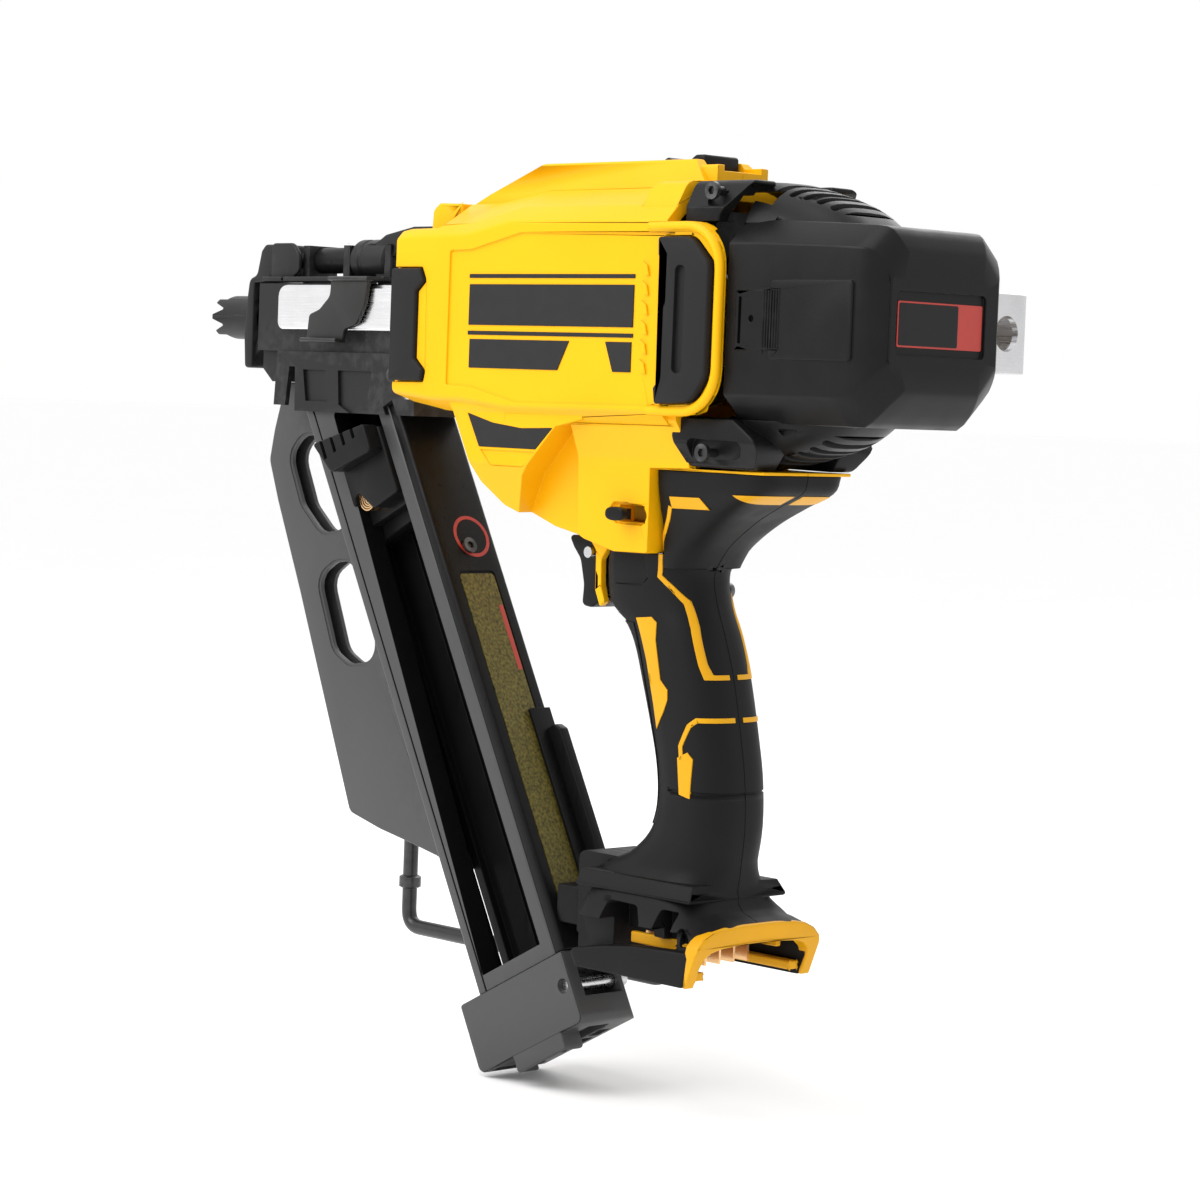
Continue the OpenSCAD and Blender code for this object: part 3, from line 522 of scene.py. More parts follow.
# the finish of each material slot in the record
FINISHES = {
    "frame_alloy": look("frame alloy", (0.5, 0.5, 0.52), 0.4, 1.0, shift=0.06, grain=600, depth=0.4),
    "ground_steel": look("ground steel", (0.62, 0.62, 0.63), 0.25, 1.0, shift=0.05, depth=0.15,
        brushed=LENGTHWISE),
    "spring_steel": look("spring steel", (0.5, 0.49, 0.47), 0.3, 1.0, shift=0.1, depth=0.1),
    "copper_stator": look("copper windings", (0.75, 0.3, 0.12), 0.35, 1.0, shift=0.12, depth=0.3,
        brushed=(1.0, 60.0, 1.0)),
    "contact_copper": look("contact copper", (0.8, 0.5, 0.25), 0.28, 1.0, depth=0.1),
    "board_green": look("board green", (0.02, 0.12, 0.05), 0.4, shift=0.2, patch=500),
    "lamp_lens": look("lamp lens", (0.75, 0.8, 0.85), 0.12, shift=0.03, depth=0.05, coat=0.4),
    "dark_screw": look("dark screw", (0.05, 0.05, 0.052), 0.32, 0.8, shift=0.15, worn=0.8),
    "hook_wire": look("hook wire", (0.025, 0.025, 0.026), 0.3, 0.3, shift=0.1, grain=1200, worn=0.5),
    "hook_strap": look("hook strap", (0.6, 0.6, 0.61), 0.28, 1.0, shift=0.05, brushed=(1.0, 1.0, 24.0)),
    "yellow_shell": look("shell yellow", (0.84, 0.42, 0.002), 0.36, shift=0.03, patch=25, grain=900,
        depth=0.18, specular=0.15),
    "black_shell": look("black moulding", (0.0075, 0.0075, 0.0078), 0.36, grain=1700, depth=0.3, worn=0.12,
        specular=0.13),
    "yellow_trim": look("trim yellow", (0.66, 0.32, 0.004), 0.42, shift=0.05, patch=60, depth=0.12,
        specular=0.2),
    "rubber_black": look("overmoulded rubber", (0.0065, 0.0065, 0.0068), 0.5, grain=2200, depth=0.4,
        specular=0.13),
    "bright_plate": look("bright plate", (0.82, 0.82, 0.83), 0.24, 1.0, shift=0.04, brushed=LENGTHWISE),
    "black_casting": look("black casting", (0.012, 0.012, 0.0125), 0.4, 0.1, shift=0.1, patch=40, grain=900,
        depth=0.35, worn=0.25, specular=0.25),
    "black_sheet": look("black sheet", (0.018, 0.0175, 0.017), 0.34, 0.25, shift=0.06, patch=40, grain=900,
        worn=0.35, specular=0.4),
    "guide_grey": look("guide grey", (0.05, 0.05, 0.051), 0.4, 0.15, shift=0.04, patch=30, grain=900,
        worn=0.12, specular=0.4),
    "magazine_dark": look("magazine dark", (0.005, 0.005, 0.0052), 0.36, depth=0.15,
        brushed=(14.0, 14.0, 1.0), specular=0.13),
    "label_olive": look("label olive", (0.1, 0.083, 0.018), 0.45, shift=0.6, patch=900, depth=0.08,
        specular=0.2),
}
FINISHES["black_moulding"] = FINISHES["black_shell"]
# finishes of single pieces
PAD = look("ribbed rubber", (0.008, 0.008, 0.0083), 0.6, shift=0.1, grain=2000, depth=0.4, specular=0.18)
BUMPER = look("bumper rubber", (0.014, 0.0135, 0.014), 0.55, shift=0.05, grain=2000, depth=0.3,
    specular=0.14)
LABEL_RED = look("label red", (0.38, 0.025, 0.015), 0.42, shift=0.06, patch=120, depth=0.08)
LABEL_DARK = look("label dark", (0.012, 0.012, 0.013), 0.4, patch=120, depth=0.08, specular=0.15)
PRINT = look("printed grey", (0.02, 0.02, 0.0205), 0.5, patch=200, depth=0.1, specular=0.15)


# -------- yellow drive housing

FRONT = low("housing_left").x
WIDE = -low("housing_left").y
REAR = high("rear_cap").x
FOOT = low("battery_dock").z


def half_ring(x, half, radius=0.0):
    """Ring across the tool, from one side's (distance out, height) points."""
    ring = [(-y, z) for y, z in half] + [(y, z) for y, z in reversed(half)]
    if radius:
        ring = rounded(ring, radius, 3, True)
    return [(x, p[0], p[1]) for p in ring]


def housing_body():
    w = WIDE
    stations = [
        (0, [(14, -28), (21, -28), (25, -25), (25, 25), (20, 28), (14, 28)]),
        (7.5, [(14, -29.5), (28, -29.5), (w, -27.3), (w, 28), (33, 31.3), (20, 32.2)]),
        (12, [(14, -30.5), (29, -30.5), (w, -27.8), (w, 29), (33, 32), (20, 32.8)]),
        (26, [(14, -33), (29, -32.5), (w, -29), (w, 29.2), (33, 32.2), (20, 33)]),
        (29, [(14, -33.5), (29, -33), (w, -29), (w, 29.2), (31.5, 33.5), (19, 41.6)]),
        (45, [(14, -36), (30, -34), (w, -28.6), (w, 29.6), (31, 34), (19, 41.9)]),
        (68, [(14, -38), (31, -35.5), (w, -30.8), (w, 34), (30, 39.4), (18.5, 45.8)]),
        (146, [(14, -38), (31, -35), (w, -30.6), (w, 33.4), (30, 39.4), (18.5, 46)]),
    ]
    body = skin([half_ring(FRONT + d, half, 2.4) for d, half in stations])
    ridge = slab([(28, 34), (28, 41.5), (60, 56, 8), (112, 56), (136, 56), (146, 45), (146, 34)], 17.5,
        radius=1.5, x=FRONT)
    keep(ridge, prism(symmetric([(-18, 33), (-17, 45), (-13, 56, 1.5)]), FRONT, FRONT + 170, "X"))
    bulge = slab([(36, -28), (44, -44), (51, -58, 4), (60, -66, 6), (78, -72.5), (96, -76), (106, -77),
        (106, -28)], 34, x=FRONT)
    keep(
        bulge,
        prism(
            symmetric([(-36, -28), (-33.5, -33), (-33, -51, 4), (-21, -77.5, 3)]),
            FRONT + 20, FRONT + 120, "X",
        ),
    )
    # the bulge turns under at its rear
    slope = slab([(92.5, -36), (74, -54), (60, -80), (120, -90), (120, -30)], -40, -22, x=FRONT)
    slope.data.transform(
        Matrix.Translation((0, -22, -36))
        @ Matrix.Rotation(math.radians(6), 4, "X")
        @ Matrix.Translation((0, 22, 36))
    )
    cut(bulge, both_sides(slope))
    neck = slab([(97, -28), (150, -28), (150, -49.2), (131.2, -49.8), (128.6, -79.2, 1), (112, -79.4, 3),
        (94, -75, 4)], 32, x=FRONT)
    keep(
        neck,
        prism(
            symmetric([(-36, -28), (-30, -36, 5), (-25, -47, 8), (-23.5, -62), (-22, -80)]),
            FRONT + 80, FRONT + 160, "X",
        ),
    )
    cheeks = pair([(140, -31.2), (172, -31.2, 15), (172, 33, 15), (140, 33.4)], -WIDE, -29.5, steps=8,
        edge=1.6, x=FRONT)
    blocks = pair([(8.8, 28), (9.6, 39.7, 2.5), (13, 42.2, 1.5), (25.6, 41.8, 0.8), (25.6, 28)], -21, -8,
        edge=0.9, x=FRONT)
    corners = both_sides(keep(slab([(128.5, 30), (129.5, 45, 3), (132, 48, 2), (145.8, 48.4, 1.2),
        (145.8, 30)], -31, -15, x=FRONT), prism([(-33, 28), (-31.5, 38, 2), (-26, 47.5, 5), (-15, 48.3),
        (-15, 28)], FRONT + 120, FRONT + 160, "X")))
    bed = centred(FRONT + 106, FRONT + 146, 12.5, 44, 54, 1, "X")
    add(body, ridge, bulge, neck, cheeks, blocks, corners, bed)
    return body


housing = housing_body()
# hollow inside, with a mouth for the drive in front and an open rear
hollow = [
    (3, [(10, -25), (18, -25), (22, -22), (22, 22), (18, 25), (10, 25)]),
    (10, [(10, -26), (25, -26), (33, -24), (33, 25), (28, 29), (10, 29)]),
    (44, [(10, -30), (26, -30), (33, -25), (33, 26), (27, 31), (10, 38)]),
    (68, [(10, -34), (27, -32), (33, -28), (33, 30), (27, 36), (10, 42)]),
    (146.2, [(10, -34), (27, -32), (33, -28), (33, 30), (27, 36), (10, 42)]),
    (175, [(10, -30), (27, -30), (33, -28), (33, 30), (27, 32), (10, 32)]),
]
cut(
    housing,
    skin([half_ring(FRONT + d, half) for d, half in hollow]),
    slab([(46, -30), (52, -52), (62, -63), (80, -69), (100, -72.5), (124, -75), (124, -30)], 14, x=FRONT),
    centred(FRONT - 5, FRONT + 5, 17, -15, 15),
    # space of the trigger and of the switch, and the gate of the selector
    centred(183, 211, 10.5, -84, -66),
    centred(205, 238, 12, -84, -70),
    centred(246, 263, 19, -60, -40),
    # stall lever's slot
    centred(224, 262, 9, 52, 60, 1, "Z"),
    centred(226, 252, 4, 40, 60),
)
for depth, outline in (
    # long shallow panel of the printed bars, and the seats of the rubber pads
    (0.8, [(37, 24, 1), (48, 24.2), (74, 30), (150, 29.6), (150, -28.7), (74, -29.3), (50, -24.4),
        (37, -24, 1)]),
    (3.0, [(5, 18.1), (22.3, 18.1, 1), (24.8, 13, 1), (20.8, 9.5), (20.8, -15), (25.6, -19.2, 1),
        (24.7, -23.3, 1), (5, -23.5)]),
    (2.5, [(144.2, 28.5, 1), (160, 28.5, 8), (169.5, 19.4, 5), (169.5, -18.3, 5), (162.9, -27.5, 8),
        (145, -28.4, 1), (144.2, -22.5), (147.5, -19), (147.5, 18.3), (144.5, 21.8)]),
):
    cut(housing, pair(outline, -WIDE - 2, -WIDE + depth, steps=5, x=FRONT))
# printed plate's seat on the bulge, the second field under it and the selector's gate
PLATE = [(46.5, -33.6), (60, -36.8), (75, -38.3), (91, -37.7), (82.5, -45.4), (53, -45.4)]
cut(
    housing,
    pair(PLATE, -34, -32.6, x=FRONT),
    pair([(53.6, -46.4), (82, -46.4), (75.5, -51.8, 1), (59, -51.8, 1)], -34, -32.5, x=FRONT),
    slab([(109.5, -65.5, 2), (113, -62, 2), (127, -62.6, 2), (129.4, -66.5, 2), (126.5, -69.8, 2),
        (113.5, -69.5, 2)], -30, -21.5, x=FRONT),
    block((226, -30, -69), (240, -10, -63)),
)
# raised rim round the rear pad, and the short ribs in front of it
rim_path = rounded(offset_x(FRONT, [(138, 31.5), (171.3, 31.5, 15), (171.3, -30, 15), (140, -30.2)]), 0, 10)
rims = both_sides(swept([(p[0], -WIDE + 0.4, p[1]) for p in rim_path], 1.7, 12))
ribs = []
for i in range(6):
    z = 17 - 6.6 * i
    ribs.append(pair([(135, z + 3.2), (137.6, z + 1.6), (138.6, z - 2), (136.4, z - 1.6)], -WIDE - 0.1,
        -WIDE + 1.2, edge=0.3, x=FRONT))
sill = centred(FRONT + 130, FRONT + 182, 21.8, -50.2, -49.1, 1, "Z")
add(housing, rims)
add(housing, merged(ribs))
add(housing, sill)
for half, side in zip(halves(housing, 90, 320, -100, 80), ("left", "right")):
    finish_piece(half, f"drive_housing_{side}", "yellow_shell", [f"housing_{side}"], 0.3, angle=SHELL_ANGLE)

# plain bars and blank fields in place of the printing, as one thin piece on each side
BARS = [
    rectangle(47.4, 131.4, 14.2, 15.6),
    rectangle(47.4, 131.4, -5.9, -4.5),
    rectangle(47.6, 131.2, -2.4, 12.0),
    [(48.5, -17.6), (94.5, -17.6), (100, -7.4), (48.5, -7.4)],
    [(122, -17.6), (130.8, -17.6), (130.8, -7.4), (118, -7.4)],
]
for side in (-1, 1):
    y0, y1 = sorted((side * (WIDE - 1.0), side * (WIDE - 0.45)))
    marks = merged([slab(shape, y0, y1, x=FRONT) for shape in BARS])
    y0, y1 = sorted((side * 32.4, side * 33.3))
    marks = merged([marks, slab(PLATE, y0, y1, x=FRONT)])
    finish_piece(marks, f"printed_fields_{'left' if side < 0 else 'right'}", "black_moulding", edge=0.12,
        finish=PRINT)

FRONT_PAD = [(6.6, 17.6, 1), (22, 17.6, 1), (24.3, 13, 1), (20.3, 9.7, 1), (20.3, -15, 1), (25.1, -19, 1),
    (24.2, -22.8, 1), (6.6, -23, 1)]
REAR_PAD = [(144.7, 28, 1), (160, 28, 8), (169, 19, 5), (169, -18, 5), (162.5, -27, 8), (145.5, -27.9, 1),
    (144.7, -22.5), (148, -19, 1), (148, 18.3, 1), (145, 21.8)]
for side in ("left", "right"):
    front_pad = slab(FRONT_PAD, -WIDE - 1.6, -WIDE + 2.5, steps=5, edge=0.8, x=FRONT)
    rear_pad = slab(REAR_PAD, -WIDE - 2.8, -WIDE + 2.2, steps=5, edge=1.0, x=FRONT)
    cut(rear_pad, slab([(153.6, 18.7, 2), (158.2, 18.3, 2), (158.2, -17.4, 2), (153.6, -17.6, 2)],
        -WIDE - 4, -WIDE - 1.2, x=FRONT))
    for pad, name, node in ((front_pad, "front_pad", "front_bumper"), (rear_pad, "rear_pad",
        "rear_bumper")):
        if side == "right":
            moved(pad, MIRROR)
        finish_piece(pad, f"{name}_{side}", "rubber_black", [f"{node}_{side}"], 0.2, finish=BUMPER)


# -------- motor cover and rear cap

COVER = low("motor_cover").x
DOME_LENGTH, DOME_STEPS = 64, 22


def dome(inset=0.0):
    """Smooth shell behind the housing."""
    tall = [(0, 49), (14, 48.8), (26, 47), (34, 45), (42, 42.8), (50, 39.8), (56, 36.2), (61, 32.5),
        (64, 29.5)]
    wide = [(0, 29), (30, 29), (50, 27), (60, 24), (64, 22)]
    rings = []
    for k in range(DOME_STEPS + 1):
        d = DOME_LENGTH * k / DOME_STEPS
        h = smooth_value(tall, d) - inset
        w = smooth_value(wide, d) - inset
        x = COVER + d - (inset if k == DOME_STEPS else 0)
        rings.append(oval((x, 0, 0), (0, w, 0), (0, 0, h), 3.0, 64))
    return skin(rings)


cover = dome()
top_flange = pair([(-0.7, 30), (-0.7, 48.4, 1.5), (26.5, 47.4, 1), (15, 35.5, 3), (14, 30)], -30.5, -14,
    edge=0.7, x=COVER)
low_flange = pair([(-3, -32), (-4.5, -38.2, 2), (-0.5, -48.4, 2), (30, -48.8, 3), (36, -40, 4), (24, -32)],
    -29.5, -14, edge=0.7, x=COVER)
add(cover, top_flange, low_flange)
shoulder = prism([(-31, 30), (-30.5, 38, 2), (-25.5, 47.5, 5), (25.5, 47.5, 5), (30.5, 38, 2), (31, 30),
    (30, -30), (29.5, -40, 3), (24, -49, 4), (-24, -49, 4), (-29.5, -40, 3), (-30, -30)], 250, 340, "X")
keep(cover, shoulder)
cut(
    cover,
    dome(3.0),
    centred(255, 284.2, 25.5, -42.3, 42.3),
    centred(255, 284.2, 40, -31.8, 33.4),
    centred(255, 292, 21, -44, 44),
    # room for the rear cap
    centred(284.2, 340, 40, -32, 33),
)
# pockets of the screws, the vents along the crest and the eye-shaped vents below
pockets = [pair([(8.5, 38.5, 2), (8.5, 47, 2), (17, 47, 3), (15.5, 38.5, 2)], -34, -27.5, x=COVER),
    pair([(2.5, -47, 3), (2.5, -38.8, 3), (29, -39.4, 2), (25, -44.8, 3), (14, -47, 3)], -34, -26, x=COVER)]
cut(cover, *pockets)
vents = []
for i in range(6):
    x = COVER + 27 + 5.4 * i
    vents.append(block((x, -17 + i * 0.8, 36), (x + 2.7, 17 - i * 0.8, 60), 1.2, "Z"))
    vents.append(centred(x, x + 2.7, 13, -60, -36, 1.2, "Z"))
cut(cover, merged(vents))
eyes = pair([(37, -34.5, 1), (40, -37.5, 3), (46, -40.2, 4), (54, -38.6, 3), (58, -35, 1)], -32, -20.5,
    x=COVER)
cut(cover, eyes)
finish_piece(cover, "motor_cover_shell", "black_shell", ["motor_cover"], 0.25, angle=SHELL_ANGLE)

CAP = low("rear_cap").x


def cap_ring(x, w, top, bottom, shrink=0.0):
    share = w / 33
    points = [
        (12 * share, bottom), (23 * share, bottom), (w, max(bottom + 9, -24)),
        (w, min(top - 7.6, 26)), (24 * share, top), (12 * share, top),
    ]
    return half_ring(x, [(y - shrink * y / w, z - shrink * z / 33) for y, z in points], 1.6)


cap_stations = [
    (0, 33, 34, -33), (15, 33, 34, -33), (46, 33, 32.6, -33), (54, 32.9, 32.2, -33), (57, 32.5, 32, -31.2),
    (60, 31.6, 31.6, -28.4), (62, 30.5, 30.6, -26.2), (64, 29, 28.2, -24), (65.5, 27.6, 25.6, -22.2),
        (66.5, 26.2, 23.6, -20.6),
]
cap = skin([cap_ring(CAP + d, w, top, bottom) for d, w, top, bottom in cap_stations])
cut(cap, skin([cap_ring(CAP + min(d, 63) - (3 if d == 0 else 0), w, top, bottom, 3) for d, w, top,
    bottom in cap_stations[:8]]))
# badge panel, the ribbed clip in front of it and the slotted plate, on both sides
panel = both_sides(block((CAP + 20, -33.7, -12), (CAP + 56, -31, 14), 1.5, "Y", 0.5))
clip = both_sides(block((CAP + 17, -33.9, -9), (CAP + 24.5, -31, 11.2), 0.5, "Y"))
plate = both_sides(block((CAP + 4.5, -33.35, -9.2), (CAP + 17, -31, 10.6), 0.5, "Y"))
add(cap, panel)
add(cap, clip, plate)
slots = both_sides(block((CAP + 5.8, -35, -7), (CAP + 7, -32, 8.4), 0.4, "Y"))
dots = both_sides(rod("Y", CAP + 11.6, 1.2, 1.1, -35, -32, 16))
grips = []
for i in range(6):
    x = CAP + 17.6 + i * 1.15
    grips.append(both_sides(block((x, -35, -8.4), (x + 0.45, -33.4, 10.6))))
cut(cap, slots, dots, merged(grips))
# sunk seat of the rear label, in a raised frame
frame_block = block((REAR - 2, -27, -13), (REAR, 20.6, 14.9), 2.2, "X", 0.4)
add(cap, frame_block)
cut(cap, block((REAR - 1.1, -24, -9.4), (REAR + 2, 20, 11.2), 1.6, "X"))
finish_piece(cap, "rear_cap_shell", "black_shell", ["rear_cap"], 0.25, angle=SHELL_ANGLE)
label = [
    (LABEL_RED, "rear_label_frame", (-22.4, 19.4, -6.8, 8.0), 0.0),
    (LABEL_DARK, "rear_label_field", (-21.8, 7.2, -6.2, 7.4), 0.12),
]
for look_of, name, (y0, y1, z0, z1), proud in label:
    tag = block((REAR - 1.3, y0, z0), (REAR - 0.85 + proud, y1, z1), 0.6, "X")
    finish_piece(tag, name, "black_shell", edge=0.1, finish=look_of)


# -------- handle

GRIP_REAR = [
    (-207, 277), (-203, 274), (-197, 269.5), (-188, 270), (-173, 271.4), (-156, 270.5), (-142, 268),
        (-122, 263.5),
    (-108.5, 259), (-95, 253.6), (-86, 252.2), (-80, 255.5), (-75, 260), (-67, 271), (-61, 282), (-56, 292),
        (-50.3, 294),
]
GRIP_FRONT = [
    (-207, 214), (-193, 214), (-188, 216), (-184.5, 224), (-178, 232.5), (-172, 236.6), (-163, 238.6),
        (-151, 237.2),
    (-137, 233), (-124, 228.5), (-111, 223.6), (-104, 218.5), (-100, 212), (-96, 208.6), (-86, 207.4),
        (-79.6, 208),
]
GRIP_HALF = [
    (-207, 30.5), (-203, 28), (-198, 24), (-192, 20), (-186, 17.6), (-170, 17), (-120, 16.6), (-90, 16.4),
        (-80, 17),
    (-70, 18.2), (-62, 20.4), (-57, 21.6), (-50.3, 22),
]


GRIP_POWER = 2.7  # how square the grip is, where 2 is an ellipse


def grip_core(swell=0.0, upper=False):
    """Lofted grip: its lower part down to the foot, or its upper part under the motor."""
    top, bottom, levels = (-50.3, -84.0, 22) if upper else (-79.4, -206.0, 64)
    rings = []
    for i in range(levels + 1):
        z = top + (bottom - top) * i / levels
        rear = smooth_value(GRIP_REAR, z) + swell
        front = 238.0 if upper else smooth_value(GRIP_FRONT, z) - swell
        half = smooth_value(GRIP_HALF, z) + swell
        # squarer towards the foot and towards the motor
        power = GRIP_POWER + max(0, -184 - z) / 9 + max(0, z + 78) / 8
        rings.append(oval(((front + rear) / 2, 0, z), ((rear - front) / 2, 0, 0), (0, half, 0), power, 64))
    return skin(rings)


def grip_form(swell=0.0):
    upper = keep(grip_core(swell, True), centred(243.4 - swell, 300, 40, -90, -40))
    return add(grip_core(swell), upper)


handle = grip_form()
arm = slab([(203, -186.5, 3), (226, -186.5), (226, -216), (203, -216)], 12.5, radius=1)
FOOT_TOP = -197.0
foot = skin(
    [
        half_ring(x, [(w, FOOT + 0.1), (w, top - 9), (w - 2, top - 5), (w - 8, top - 1.4), (w - 16, top),
            (w - 19, top)])
        for x, w, top in ((214, 22, FOOT_TOP), (254, 22.5, FOOT_TOP), (262, 24.5, -198), (269, 27, -199.6),
            (275, 29.5, -201.6), (280.6, 31, -203.6))
    ]
)
# slopes forward at its foot, like the rim it carries
cut(foot, slab([(280.8, -209), (274, FOOT - 1), (290, FOOT - 1), (290, -209)], 60))
blocks = pair([(250, -212.8, 2), (277.8, -211.6, 2), (274.5, FOOT + 0.05, 2), (222, FOOT + 0.05, 2),
    (218, -218, 2), (234, -215)], -31, -18, edge=0.9)
ledge = slab([(213.6, -191), (268, -191), (270.2, -196.8, 1), (213.6, -196.8, 1)], 24.5)
keep(ledge, prism(symmetric([(-20.5, -190), (-24.5, -196.9, 1)]), 200, 290, "X"))
add(handle, foot, arm, ledge, blocks)
# pockets in the foot's sides, the battery's way in, and the room of trigger and switch
pockets = [pair([(232, -199.5, 2), (246, -199.8, 4), (251, -205, 4), (252.5, -212.4, 1), (232, -214, 2)],
    -40, -15), pair([(257.5, -199.6, 1), (264.8, -200, 1), (266.6, -210.8, 1), (258, -211.4, 1)], -40,
    -19.5), pair([(268.4, -203.5, 0.8), (276, -210.4, 0.8), (268.8, -210.8, 0.8)], -40, -24)]
cut(handle, *pockets)
cut(
    handle,
    centred(232, 290, 26, FOOT - 2, -210, 1.5, "X"),
    centred(245, 262, 16, -58, -48),
    centred(200, 212, 10.5, -104, -78),
    centred(206, 238, 13, -101, -76),
    rod("X", 0, -197, 4.2, 200, 225, 24),
)
hollow_grip = skin(
    [
        oval((c, 0, z), (h, 0, 0), (0, 12.5, 0), 3, 32)
        for z, c, h in ((-60, 262, 12), (-70, 250, 8), (-80, 236, 8), (-88, 232, 9), (-100, 234, 10),
            (-130, 247, 11), (-160, 254, 11), (-190, 250, 14), (-212, 250, 16))
    ]
)
cut(handle, hollow_grip)
# recessed field behind the trigger and the joint line round the lower grip
field = pair([(216.4, -81.5), (219.9, -79.7), (234, -79.7), (235.8, -88), (232.6, -90.8), (218, -90.8),
    (215.6, -86.6)], -20, -15.4, radius=1)
cut(handle, field)
joint = cut(
    centred(250, 300, 30, -160.3, -159.6),
    keep(grip_form(-0.5), centred(200, 300, 40, -170, -150)),
)
cut(handle, joint)
for half, side in zip(halves(handle, 180, 320, -240, -30), ("left", "right")):
    finish_piece(half, f"handle_half_{side}", "rubber_black", [f"handle_{side}"], 0.3, angle=SHELL_ANGLE)


INLAY_THICK = 1.2
STRIPE = 1.7  # width of the thin lines


def inlay(outlines, swell):
    """Raised band that follows the grip's surface inside the given side outlines."""
    shell = cut(grip_form(swell), grip_form(swell - INLAY_THICK))
    parts = [keep(copy(shell), pair(outline, -24, -2)) for outline in outlines]
    bpy.data.objects.remove(shell)
    return merged(parts)


def stripe(path):
    """Outline of a line of even width along a path of points."""
    left, right = [], []
    path = [Vector(p) for p in path]
    for i, p in enumerate(path):
        before = (p - path[i - 1]).normalized() if i else None
        after = (path[i + 1] - p).normalized() if i + 1 < len(path) else None
        way = ((before or after) + (after or before)).normalized()
        across = Vector((-way.y, way.x))
        reach = STRIPE / 2 / max(0.4, across.dot(Vector((-(after or before).y, (after or before).x))))
        left.append(p + across * reach)
        right.append(p - across * reach)
    return left + right[::-1]


ACCENTS = [
    [(249.6, -59.2), (264.0, -59.0), (268.2, -63.0), (250.2, -63.2)],
    stripe([(249.4, -62.6), (247.6, -66.5), (242.6, -75), (241, -87), (245.5, -90.8), (250.5, -95.6),
        (254.5, -104), (259.2, -116.4), (261.2, -120.6), (276, -120.6)]),
    [(231, -102), (238.6, -101.2), (241.2, -103), (241.2, -109), (244.4, -122.6), (248, -125.7),
        (248.2, -129.2), (246.5, -133.5), (242.9, -139.7), (241, -131.6), (236.7, -116.3), (232.1, -104.5)],
    stripe([(276, -134.8), (260.6, -135.2), (258.2, -137.3), (255.3, -144.4), (256, -149)]),
    [(254.2, -148.4), (258.6, -146.2), (260.8, -148.5), (260.6, -162), (255.8, -160.9)],
]
accents = inlay(ACCENTS, 0.35)
finish_piece(accents, "handle_inlays", "yellow_trim", ["handle_accents"], 0.18)
vent_frame = inlay([[(279.5, -57.4), (292.4, -57.2), (289.6, -60.2), (283.6, -60.4)]], 0.3)
finish_piece(vent_frame, "handle_vent_frame", "yellow_trim", edge=0.15)

# ribbed pad on the finger side
pad = cut(grip_form(0.45), grip_form(-1.6))
keep(pad, slab([(206, -104), (229.4, -103.6), (232, -113), (237, -131), (241.6, -150), (242.6, -163),
    (239, -173), (226, -173)], 40))
grooves = []
for i in range(15):
    z = -107.5 - 4.3 * i
    x = smooth_value(GRIP_FRONT, z)
    grooves.append(slab([(x - 2.0, z - 1.0), (x - 2.0, z + 1.0), (x + 0.9, z + 0.55, 0.4),
        (x + 0.9, z - 0.75, 0.4)], 30))
cut(pad, merged(grooves))
finish_piece(pad, "finger_pad", "rubber_black", ["grip_pad"], 0.35, finish=PAD)

# yellow guard strip in front of the switch
guard = pair([(203.5, -76.5), (214.2, -76.5), (209.6, -83.2, 2), (209.9, -92, 2), (211.9, -98, 0.6),
    (209.6, -99.8, 0.6), (206.9, -94, 2), (206.6, -80, 2)], -13.6, -10.9)
finish_piece(guard, "switch_guard", "yellow_shell", edge=0.4)

# arched rim and rails of the battery dock
arch = [(31, FOOT + 0.1), (31, -212.5), (30.2, -209.4), (27.5, -206.6), (23, -204.6), (17, -203.6),
    (8, -203.2)]
inner = [(26.4, FOOT + 0.1), (26.4, -217), (25.6, -214), (22.8, -211.8), (18, -210.6), (12, -210.2),
    (6, -210)]
rim = skin([half_ring(x, [(y + g, z + (g if k else 0)) for k, (y, z) in enumerate(arch)]) for x,
    g in ((274.6, -0.3), (276, 0), (280.4, 0), (281, -0.6))])
cut(rim, skin([half_ring(x, [(y, z if k else z - 5) for k,
    (y, z) in enumerate(inner)]) for x in (270, 290)]))
cut(
    rim,
    slab([(281.6, -208.4), (275.6, FOOT - 0.2), (292, FOOT - 0.2), (292, -208.4)], 60),
    slab([(268, -203), (274.8, -203), (269.2, FOOT - 1), (260, FOOT - 1)], 60),
)
rails = both_sides(block((232.4, -25.9, FOOT + 2), (275, -21, FOOT + 5), 0.6, "X"))
bridge = [centred(262, 264.5, 18, -213.4, -210.2), both_sides(block((238, -20, -214),
    (272, -17.5, -210.1)))]
add(rim, rails, *bridge)
finish_piece(rim, "battery_rim", "yellow_trim", ["battery_dock"], 0.6, segments=3)


# -------- nose

WHEEL_Z = (low("depth_wheel").z + high("depth_wheel").z) / 2


def on_wheel(r, start, end, *more):
    """Bar on the depth wheel's axis."""
    return rod("X", 0, WHEEL_Z, r, start, end, *more)


flange = prism([(-24, -27), (-21, -30), (21, -30), (24, -27), (24, 27), (21, 30), (-21, 30), (-24, 27)],
    109, 112, "X", 1, edge=0.5)
cut(flange, centred(100, 120, 16.2, -14.2, 14.2, 2), *[rod("X", y, z, 2.1, 100,
    120) for y in (-19, 19) for z in (-23, 23)])
finish_piece(flange, "nose_flange_plate", "bright_plate", ["nose_flange"], 0.2)

plate = prism([(28.2, -4.8, 3), (107.8, -4.8, 1), (107.8, 12.4, 1), (28.2, 12.4, 4.5)], -17.9, -14.2,
    edge=1)
cut(plate, prism([(-18.4, 13), (-18.4, 10.6), (-15.9, 13)], 20, 120, "X"))
finish_piece(plate, "nose_side_plate", "bright_plate", ["nose_plate"], 0.15)

